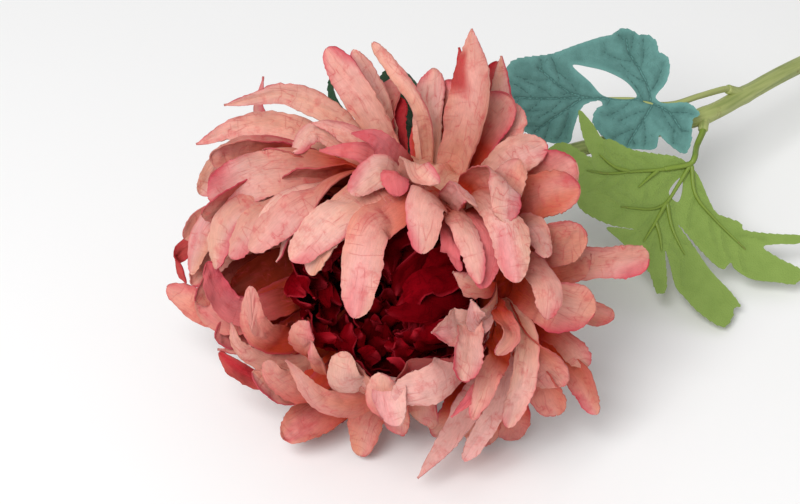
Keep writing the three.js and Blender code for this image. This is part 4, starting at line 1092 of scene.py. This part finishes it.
EFFECTS = {  # what fills each node group, and the kinds of its inputs and outputs
    "Dyed Cloth": (
        dyed_cloth, {"Place": "Vector", "Dye": "Color", "Crease Dye": "Color", "Creases": "Float"},
        {"Color": "Color", "Height": "Float"}),
    "Printed Leaf": (
        printed_leaf, {"Place": "Vector", "Rib Gap": "Float", "Vein Gap": "Float",
                       "Fine Gap": "Float", "Edge Gap": "Float", "Leaf": "Color",
                       "Mottle": "Color", "Vein": "Color", "Edge": "Color", "Strength": "Float"},
        {"Color": "Color", "Height": "Float"}),
    "Moulded Plastic": (
        moulded_plastic, {"Place": "Vector", "Tint": "Color", "Shade": "Color", "Mark": "Color"},
        {"Color": "Color", "Roughness": "Float", "Height": "Float"}),
}


def effect_group(name):
    """The shader node group of an effect, built the first time it is asked for."""
    if name in bpy.data.node_groups:
        return bpy.data.node_groups[name]
    fill, *sockets = EFFECTS[name]
    group = bpy.data.node_groups.new(name, "ShaderNodeTree")
    for way, kinds in zip(("INPUT", "OUTPUT"), sockets):
        for title, kind in kinds.items():
            group.interface.new_socket(title, in_out=way, socket_type="NodeSocket" + kind)
    source = group.nodes.new("NodeGroupInput")
    result = group.nodes.new("NodeGroupOutput")
    fill(Graph(group), source.outputs, result.inputs)
    return group


def dress(graph, shader, name, inputs, bump):
    """Places an effect in a material and joins its colour, roughness and height, in
    millimetres of bump, to the shader."""
    node = graph.tree.nodes.new("ShaderNodeGroup")
    node.node_tree = effect_group(name)
    for key, value in inputs.items():
        graph.feed(node.inputs[key], value)
    graph.feed(shader["Base Color"], node.outputs["Color"])
    if "Roughness" in node.outputs:
        graph.feed(shader["Roughness"], node.outputs["Roughness"])
    graph.feed(shader["Normal"], graph.bump(node.outputs["Height"], bump * MM))


def principled(name, **constants):
    """A new material with its own Principled BSDF, and its graph."""
    material = bpy.data.materials.new(name)
    material.use_nodes = True
    shader = material.node_tree.nodes["Principled BSDF"]
    for key, value in constants.items():
        shader.inputs[key.replace("_", " ").title().replace("Ior", "IOR")].default_value = value
    return material, Graph(material.node_tree), shader.inputs


def cloth_material(name, crease, creases, bump):
    """Dyed cloth whose colour comes from the piece's own dye at each point."""
    material, graph, shader = principled(name, roughness=0.9, specular_ior_level=0.0,
                                         subsurface_weight=0.1, subsurface_scale=1.0 * MM,
                                         subsurface_radius=(1.0, 0.35, 0.25))
    dress(graph, shader, "Dyed Cloth", {
        "Place": graph.attribute("cloth_place"), "Dye": graph.attribute("cloth_dye", "Color"),
        "Crease Dye": (*crease, 1), "Creases": creases}, bump)
    return material


def leaf_material(name, colours, back):
    """Printed fabric: the print shows on the upper face and faintly on the other."""
    material, graph, shader = principled(name, roughness=0.7, sheen_weight=0.15,
                                         sheen_roughness=0.5, specular_ior_level=0.35)
    printed = graph.attribute("printed", "Fac")
    inputs = {"Place": graph.attribute("cloth_place"),
              "Strength": graph.maths("ADD", graph.maths("MULTIPLY", printed, 0.55), 0.35)}
    for title in ("Rib Gap", "Vein Gap", "Fine Gap", "Edge Gap"):
        inputs[title] = graph.attribute(title.lower().replace(" ", "_"), "Fac")
    for title, colour, under in zip(("Leaf", "Mottle", "Vein", "Edge"), colours, back):
        inputs[title] = graph.mix(printed, (*under, 1), (*colour, 1))
    dress(graph, shader, "Printed Leaf", inputs, 0.3)
    return material


def plastic_material(name, tint, shade, mark):
    """Satin moulded plastic whose pattern follows the rod."""
    material, graph, shader = principled(name, specular_ior_level=0.45)
    dress(graph, shader, "Moulded Plastic", {
        "Place": graph.attribute("rod_place"), "Tint": (*tint, 1), "Shade": (*shade, 1),
        "Mark": (*mark, 1)}, 0.12)
    return material


# ------------------------------------------------------------------ settings
def tint(red, green, blue):
    """A colour picked on a 0 to 255 scale as the linear numbers that Blender keeps."""
    shares = [value / 255 for value in (red, green, blue)]
    return tuple(x / 12.92 if x <= 0.04045 else ((x + 0.055) / 1.055) ** 2.4 for x in shares)


def colour(name, description, *value):
    return bpy.props.FloatVectorProperty(name=name, description=description, subtype="COLOR",
                                         size=3, min=0, max=1, default=tint(*value))


class PetalSettings(bpy.types.PropertyGroup):
    """Dyes and cloth of the coral petals."""

    # Partly dye, partly painted shade: the root dye darkens the feet of the petals.
    root: colour("Root Dye", "Burnt orange at the foot of the petals", 188, 66, 32)
    cream: colour("Cream Cloth", "Peach-cream of the cloth before it is dyed", 226, 190, 166)
    body: colour("Body Dye", "Coral of the lower half of the petals", 206, 130, 98)
    pale: colour("Pale Dye", "Pale pink towards the tips", 218, 168, 163)
    tip: colour("Tip Dye", "Pink that runs in from tips and hems", 200, 76, 90)
    # Painted shade: dark red-brown laid on the petals deep inside the bloom, on the feet of the
    # pink ones and on the core.
    ember: colour("Deep Shade Dye", "Dark red-brown of the petals deep inside", 140, 46, 28)
    crimson: colour("Crimson Dye", "Deep red of the few dark petals", 170, 24, 36)
    # Painted shade: laid on a sheet in the gap between the lower petals, next to the cup.
    wine: colour("Wine Dye", "Wine red of the petals next to the cup", 126, 14, 30)
    crease: colour("Crease Dye", "Dye caught in the creases", 192, 66, 72)
    thickness: bpy.props.FloatProperty(
        name="Cloth Thickness", description="Thickness of the petal cloth", subtype="DISTANCE",
        unit="LENGTH", default=0.00045, min=0.0002, max=0.001, precision=5)
    crumple: bpy.props.FloatProperty(
        name="Crumple", description="How crushed the cloth is", subtype="FACTOR",
        default=1.0, min=0, max=2)


class CupSettings(bpy.types.PropertyGroup):
    """The wine cup in the middle of the bloom."""

    # Partly dye, partly painted shade: the cup petals darken to this at their feet, deep in the
    # cup.
    deep: colour("Deep Dye", "Dark wine at the foot of the cup petals", 56, 0, 4)
    body: colour("Body Dye", "Burgundy of the cup petals", 118, 4, 14)
    # Painted highlight: crimson laid along parts of the cup petals' rims, where their edges catch
    # the light.
    rim: colour("Rim Dye", "Crimson along the cup petals' rims", 172, 38, 50)
    petals: bpy.props.IntProperty(
        name="Petals", description="How many petals the cup has", default=165, min=40, max=200)


class LeafSettings(bpy.types.PropertyGroup):
    """Print of the three fabric leaves."""

    blue: colour("Blue Leaf", "Blue-green of the leaf near the bloom", 98, 148, 142)
    blue_vein: colour("Blue Leaf Veins", "Printed veins of the blue-green leaf", 34, 80, 74)
    lime: colour("Lime Leaf", "Underside of the lime leaf", 122, 148, 60)
    lime_vein: colour("Lime Leaf Veins", "Veins of the lime leaf", 92, 120, 36)
    dark: colour("Dark Leaf", "Green of the leaf behind the bloom", 26, 66, 38)
    dark_vein: colour("Dark Leaf Veins", "Veins of the dark leaf", 12, 36, 22)
    thickness: bpy.props.FloatProperty(
        name="Leaf Thickness", description="Thickness of the leaf fabric", subtype="DISTANCE",
        unit="LENGTH", default=0.0006, min=0.0003, max=0.001, precision=5)


class StemSettings(bpy.types.PropertyGroup):
    """Plastic of the stem, its sockets, the leaf stalks and the calyx."""

    tint: colour("Stem", "Yellow-green of the stem", 168, 176, 108)
    shade: colour("Stem Streaks", "Darker streaks along the stem", 132, 146, 78)
    mark: colour("Stem Marks", "Brownish marks near the sockets", 122, 104, 58)
    stalk: colour("Leaf Stalks", "Green of the leaf stalks and ribs", 122, 146, 52)
    calyx: colour("Calyx", "Green of the cup behind the petals", 112, 140, 66)


class StageSettings(bpy.types.PropertyGroup):
    """Surface, light and camera."""

    floor: colour("Surface", "Pale surface the flower lies on", 247, 247, 247)
    key_power: bpy.props.FloatProperty(
        name="Key Light", description="Power of the soft key light", subtype="POWER",
        unit="POWER", default=20.8, min=0)
    sky: bpy.props.FloatProperty(
        name="Sky", description="Strength of the even light all round", default=0.48, min=0)
    lens: bpy.props.FloatProperty(
        name="Lens", description="Focal length of the camera", subtype="DISTANCE_CAMERA",
        unit="CAMERA", default=100.0, min=20)


def adopt(piece, node):
    """The piece stands for a CAD node, which is hidden."""
    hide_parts(node)
    return {"FINISHED"}


# ------------------------------------------------------------------ operators
class MakeCoralPetals(bpy.types.Operator):
    """Makes the coral petals, one piece for each side of the bloom, and their core"""

    bl_idname = "chrysanthemum.coral_petals"
    bl_label = "Coral Petals"

    def execute(self, context):
        settings = context.scene.chrysanthemum_petals
        dyes = {key: np.array(getattr(settings, key)) for key in
                ("root", "cream", "body", "pale", "tip", "ember", "crimson", "wine")}
        cloth = cloth_material("Coral Cloth", settings.crease, creases=0.6, bump=0.35)
        rings, _ = back_rings()
        regions = {**CORAL_PETALS, "ring": ("coral", rings)}
        for number, (region, (usual_dye, rows)) in enumerate(regions.items()):
            rng = np.random.default_rng(SEEDS["coral"] + number)
            gather = Gather()
            for width, places, options in rows:
                shape = {"dye": usual_dye, **options}
                kind = shape.pop("dye")
                add_petal(gather, rooted(places), width, rng, dyes, kind,
                          thickness=settings.thickness / MM, crush=settings.crumple, **shape)
            adopt(gather.build("coral_petals_" + region, cloth), "coral_petals")
        self.make_core(cloth, dyes)
        return {"FINISHED"}

    def make_core(self, cloth, dyes):
        """The stacked discs that the petals are cut from, gathered in folds round the core: a
        sine of 17 times the turn, which grows along the profile, plus one of 29 times it."""
        rng = np.random.default_rng(SEEDS["core"])

        def folds(turn, share):
            return 1.2 * np.sin(17 * turn + 2 * share) * share + 0.8 * np.sin(29 * turn)

        profile = [(0, -8.5), (12, -8.5), (24, -7.8), (33, -3.5), (35, 3), (32, 10), (16, 7),
                   (0, 5)]
        points, faces = turned_form(profile, sides=180, relief=folds)
        # Painted shade and light: the core, deep in the bloom, mixes the dark root and red-brown
        # dyes at random, and is painted lighter cream-orange above 12 mm over the heart.
        shade = dye_mix(dyes["root"], dyes["ember"], rng.random(len(points)))
        high = np.clip((points[:, 2] - HEART[2] - 12) / 8, 0, 1)
        shade = dye_mix(shade, dye_mix(dyes["cream"], dyes["root"], 0.4), high)
        gather = Gather()
        gather.add(points, faces, {"cloth_place": points, "cloth_dye": shade})
        adopt(gather.build("coral_core", cloth), "coral_petals")


class MakeWinePetals(bpy.types.Operator):
    """Makes the cup of incurved wine petals"""

    bl_idname = "chrysanthemum.wine_petals"
    bl_label = "Wine Cup"

    def execute(self, context):
        settings = context.scene.chrysanthemum_cup
        thickness = context.scene.chrysanthemum_petals.thickness / MM
        cloth = cloth_material("Wine Cloth", settings.deep, creases=0.5, bump=0.4)
        dyes = [np.array(value) for value in (settings.deep, settings.body, settings.rim)]
        rng = np.random.default_rng(SEEDS["cup"])
        gather = Gather()
        _, draws = back_rings()
        for width, places in wine_rows(draws, settings.petals):
            points = np.array([bloom_point(*place) for place in places])
            grid, s, t, aside, length = petal_grid(points, width, rng, roll=draws(-35, 35),
                                                   cup=draws(0.5, 1.1), cut="spoon",
                                                   rows=24, cols=11, crush=3.2)
            sheet = inside_cup(thick_sheet(inside_cup(grid), thickness))
            dye = self.dye(*np.broadcast_arrays(s[:, None], t[None, :]), *dyes, rng, draws)
            layers = cloth_layers(aside, s, length, dye, rng)
            gather.add(sheet, sheet_faces(*grid.shape[:2]), layers)
        return adopt(gather.build("wine_cup", cloth), "wine_petals")

    def dye(self, s, t, deep, body, rim, rng, draws):
        """Deep dye at the foot, partly painted shade deep in the cup, body dye above it, and rim
        dye as a painted highlight on the parts of the edge where a soft wash is high, with each
        petal darker or lighter as a whole."""
        edge = np.maximum(np.clip((np.abs(t) - 0.8) / 0.2, 0, 1), np.clip((s - 0.9) / 0.1, 0, 1))
        # Partly painted shade: darker towards the foot, deep in the cup.
        dye = dye_mix(deep, body, 0.2 + 0.8 * s + 0.3 * ripple(s * 2, np.abs(t), rng, 4))
        dye = dye * draws(0.4, 1.25)
        # Painted highlight: the rim dye shows where a soft wash is high.
        lit_rim_patches = np.clip(0.3 + 1.3 * ripple(s * 2, t, rng, 4), 0, 1)
        return dye_mix(dye, rim, edge**1.5 * lit_rim_patches)


class MakeCalyx(bpy.types.Operator):
    """Makes the plastic cup with sepals behind the petals"""

    bl_idname = "chrysanthemum.calyx"
    bl_label = "Calyx"

    def execute(self, context):
        settings = context.scene.chrysanthemum_stem
        plastic = plastic_material("Calyx Plastic", settings.calyx, settings.shade,
                                   settings.mark)
        gather = Gather()

        def ribs(turn, share):
            return 0.3 * np.cos(8 * turn) * share

        profile = [(0, -21.8), (3.6, -21.7), (4.4, -21), (6, -18), (11, -13), (13.3, -9.9),
                   (12, -9.4), (0, -9.4)]
        points, faces = turned_form(profile, sides=64, relief=ribs)
        gather.add(points, faces, {"rod_place": points})
        rng = np.random.default_rng(SEEDS["calyx"])
        for i in range(SEPALS):
            bearing = 360 / SEPALS * i
            stops = [(bearing, 7, -14), (bearing, 13, -11.6), (bearing, 20, -12.2)]
            path = np.array([bloom_point(*stop) for stop in stops])
            grid, *_ = petal_grid(path, 7, rng, cup=0.3, cut="point", rows=SEPAL_ROWS,
                                  cols=SEPAL_COLS, crush=0.15)
            sheet = thick_sheet(grid, 0.8)
            gather.add(sheet, sheet_faces(SEPAL_ROWS, SEPAL_COLS), {"rod_place": sheet})
        return adopt(gather.build("calyx_cup", plastic), "calyx")


class MakeStem(bpy.types.Operator):
    """Makes the moulded stem with the sockets of its leaf stalks"""

    bl_idname = "chrysanthemum.stem"
    bl_label = "Stem"

    def execute(self, context):
        settings = context.scene.chrysanthemum_stem
        plastic = plastic_material("Stem Plastic", settings.tint, settings.shade, settings.mark)
        gather = Gather()
        stops = np.array(STEM_STOPS, dtype=float)
        path, _ = smooth_path(stops[:, :3], np.linspace(0, 1, 800))
        roots = [np.array(stalk["root"], dtype=float) for stalk in STALKS.values()]
        runs = run_along(path)
        knots = [runs[np.linalg.norm(path - root, axis=1).argmin()] for root in roots]

        def moulding(turn, run):
            """Seven shallow flutes that twist, a fine seam on two sides as a bell curve, and
            a knot where each leaf stalk leaves the stem."""
            seam = 0.12 * np.exp(-((np.cos(turn) / 0.09) ** 2))
            knot = sum(0.3 * np.exp(-(((run - at) / 3.2) ** 2)) for at in knots)
            return 0.05 * np.cos(7 * turn + run / 60) + seam + knot - 0.05

        add_rod(gather, stops[:, :3], stops[:, 3], sides=40, side_hint=(0, 0, 1), pitch=1.6,
                bevel=0.5, relief=moulding)
        for stalk in STALKS.values():
            root, mouth = np.array(stalk["root"], float), np.array(stalk["mouth"], float)
            way = mouth - root
            socket = [root, root + 0.55 * way, root + 0.85 * way, mouth]
            add_rod(gather, socket, SOCKET_RADII, sides=28, side_hint=(0.3, 0.2, 1), pitch=0.8,
                    bevel=0.6)
        return adopt(gather.build("stem_moulding", plastic), "stem")


class MakeLeaves(bpy.types.Operator):
    """Makes the three fabric leaves with their moulded ribs and stalks"""

    bl_idname = "chrysanthemum.leaves"
    bl_label = "Leaves"

    def execute(self, context):
        settings = context.scene.chrysanthemum_leaves
        stem = context.scene.chrysanthemum_stem
        thickness = settings.thickness / MM
        for name, leaf in LEAVES.items():
            key, title = name.split("_")[0], name.replace("_", " ").title()
            base = np.array(getattr(settings, key))
            vein = np.array(getattr(settings, key + "_vein"))
            edge = np.minimum(base * 1.25, 1)
            under = np.minimum(base * 1.1 + 0.02, 1)
            cloth = leaf_material(
                title, colours=(base, dye_mix(base, vein, 0.36), vein, edge),
                back=(under, dye_mix(under, vein, 0.2), dye_mix(base, vein, 0.7), under))
            points, faces, layers = leaf_sheet(leaf, thickness)
            adopt(mesh_object(name + "_sheet", points, faces, cloth, layers), name)
            tint = np.array({"lime": stem.stalk, "blue": stem.tint}.get(key, base))
            plastic = plastic_material(title + " Stalk", tint, tint * 0.7, stem.mark)
            gather = Gather()
            add_stalk(gather, leaf, STALKS[name], thickness)
            adopt(gather.build(name + "_ribs", plastic), name + "_stalk")
        return {"FINISHED"}


class MakeStage(bpy.types.Operator):
    """Makes the pale surface, the soft light and the camera"""

    bl_idname = "chrysanthemum.stage"
    bl_label = "Stage"

    def execute(self, context):
        scene, settings = context.scene, context.scene.chrysanthemum_stage
        mesh = bpy.data.meshes.new("surface")
        corners = [(x * SURFACE_REACH, y * SURFACE_REACH, 0)
                   for x, y in ((-1, -1), (1, -1), (1, 1), (-1, 1))]
        mesh.from_pydata(corners, [], [(0, 1, 2, 3)])
        material, _, shader = principled("Surface", roughness=0.9)
        shader["Base Color"].default_value = (*settings.floor, 1)
        mesh.materials.append(material)
        surface = bpy.data.objects.new("surface", mesh)
        context.collection.objects.link(surface)
        world = bpy.data.worlds.new("Sky")
        world.use_nodes = True
        sky = world.node_tree.nodes["Background"].inputs
        sky["Color"].default_value = (1, 1, 1, 1)
        sky["Strength"].default_value = settings.sky
        scene.world = world
        self.add_light(context, settings.key_power)
        self.add_camera(context, settings.lens)
        scene.view_settings.view_transform = "Standard"
        return {"FINISHED"}

    def add_light(self, context, power):
        """The key light: a soft area light that looks at the bloom."""
        light = bpy.data.lights.new("key", "AREA")
        light.size, light.energy = KEY_SIZE, power
        lamp = bpy.data.objects.new("key", light)
        gaze = Vector(to_row(HEART)) - Vector(KEY_PLACE)
        turn = gaze.to_track_quat("-Z", "Y").to_matrix().to_4x4()
        lamp.matrix_world = Matrix.Translation(KEY_PLACE) @ turn
        context.collection.objects.link(lamp)

    def add_camera(self, context, lens):
        """The camera looks down on the flower from its right."""
        right, up, toward = view_axes(*VIEW)
        place = to_row(HEART - CAMERA_ASIDE * right + CAMERA_DISTANCE * toward)
        camera = bpy.data.cameras.new("camera")
        camera.lens, camera.sensor_width = lens, 36
        rig = bpy.data.objects.new("camera", camera)
        rows = [[*row, at] for row, at in zip(np.stack([right, up, toward], axis=1), place)]
        rig.matrix_world = Matrix(rows + [[0, 0, 0, 1]])
        context.collection.objects.link(rig)
        context.scene.camera = rig


class CHRYSANTHEMUM_PT_panel(bpy.types.Panel):
    """Lists the pieces of the flower and their settings"""

    bl_label = "Chrysanthemum"
    bl_idname = "CHRYSANTHEMUM_PT_panel"
    bl_space_type = "VIEW_3D"
    bl_region_type = "UI"
    bl_category = "Chrysanthemum"

    def draw(self, context):
        for operator in OPERATORS:
            self.layout.operator(operator.bl_idname)
        for key in SETTINGS:
            box = self.layout.box()
            group = getattr(context.scene, key)
            for name in group.__annotations__:
                box.prop(group, name)


SETTINGS = {
    "chrysanthemum_petals": PetalSettings, "chrysanthemum_cup": CupSettings,
    "chrysanthemum_leaves": LeafSettings, "chrysanthemum_stem": StemSettings,
    "chrysanthemum_stage": StageSettings,
}
OPERATORS = (MakeStage, MakeCoralPetals, MakeWinePetals, MakeCalyx, MakeStem, MakeLeaves)


def register():
    for item in (*SETTINGS.values(), *OPERATORS, CHRYSANTHEMUM_PT_panel):
        bpy.utils.register_class(item)
    for key, group in SETTINGS.items():
        setattr(bpy.types.Scene, key, bpy.props.PointerProperty(type=group))


def unregister():
    for key in SETTINGS:
        delattr(bpy.types.Scene, key)
    for item in reversed((*SETTINGS.values(), *OPERATORS, CHRYSANTHEMUM_PT_panel)):
        bpy.utils.unregister_class(item)


def main():
    register()
    for operator in OPERATORS:
        group, name = operator.bl_idname.split(".")
        getattr(getattr(bpy.ops, group), name)()


if __name__ == "__main__":
    main()
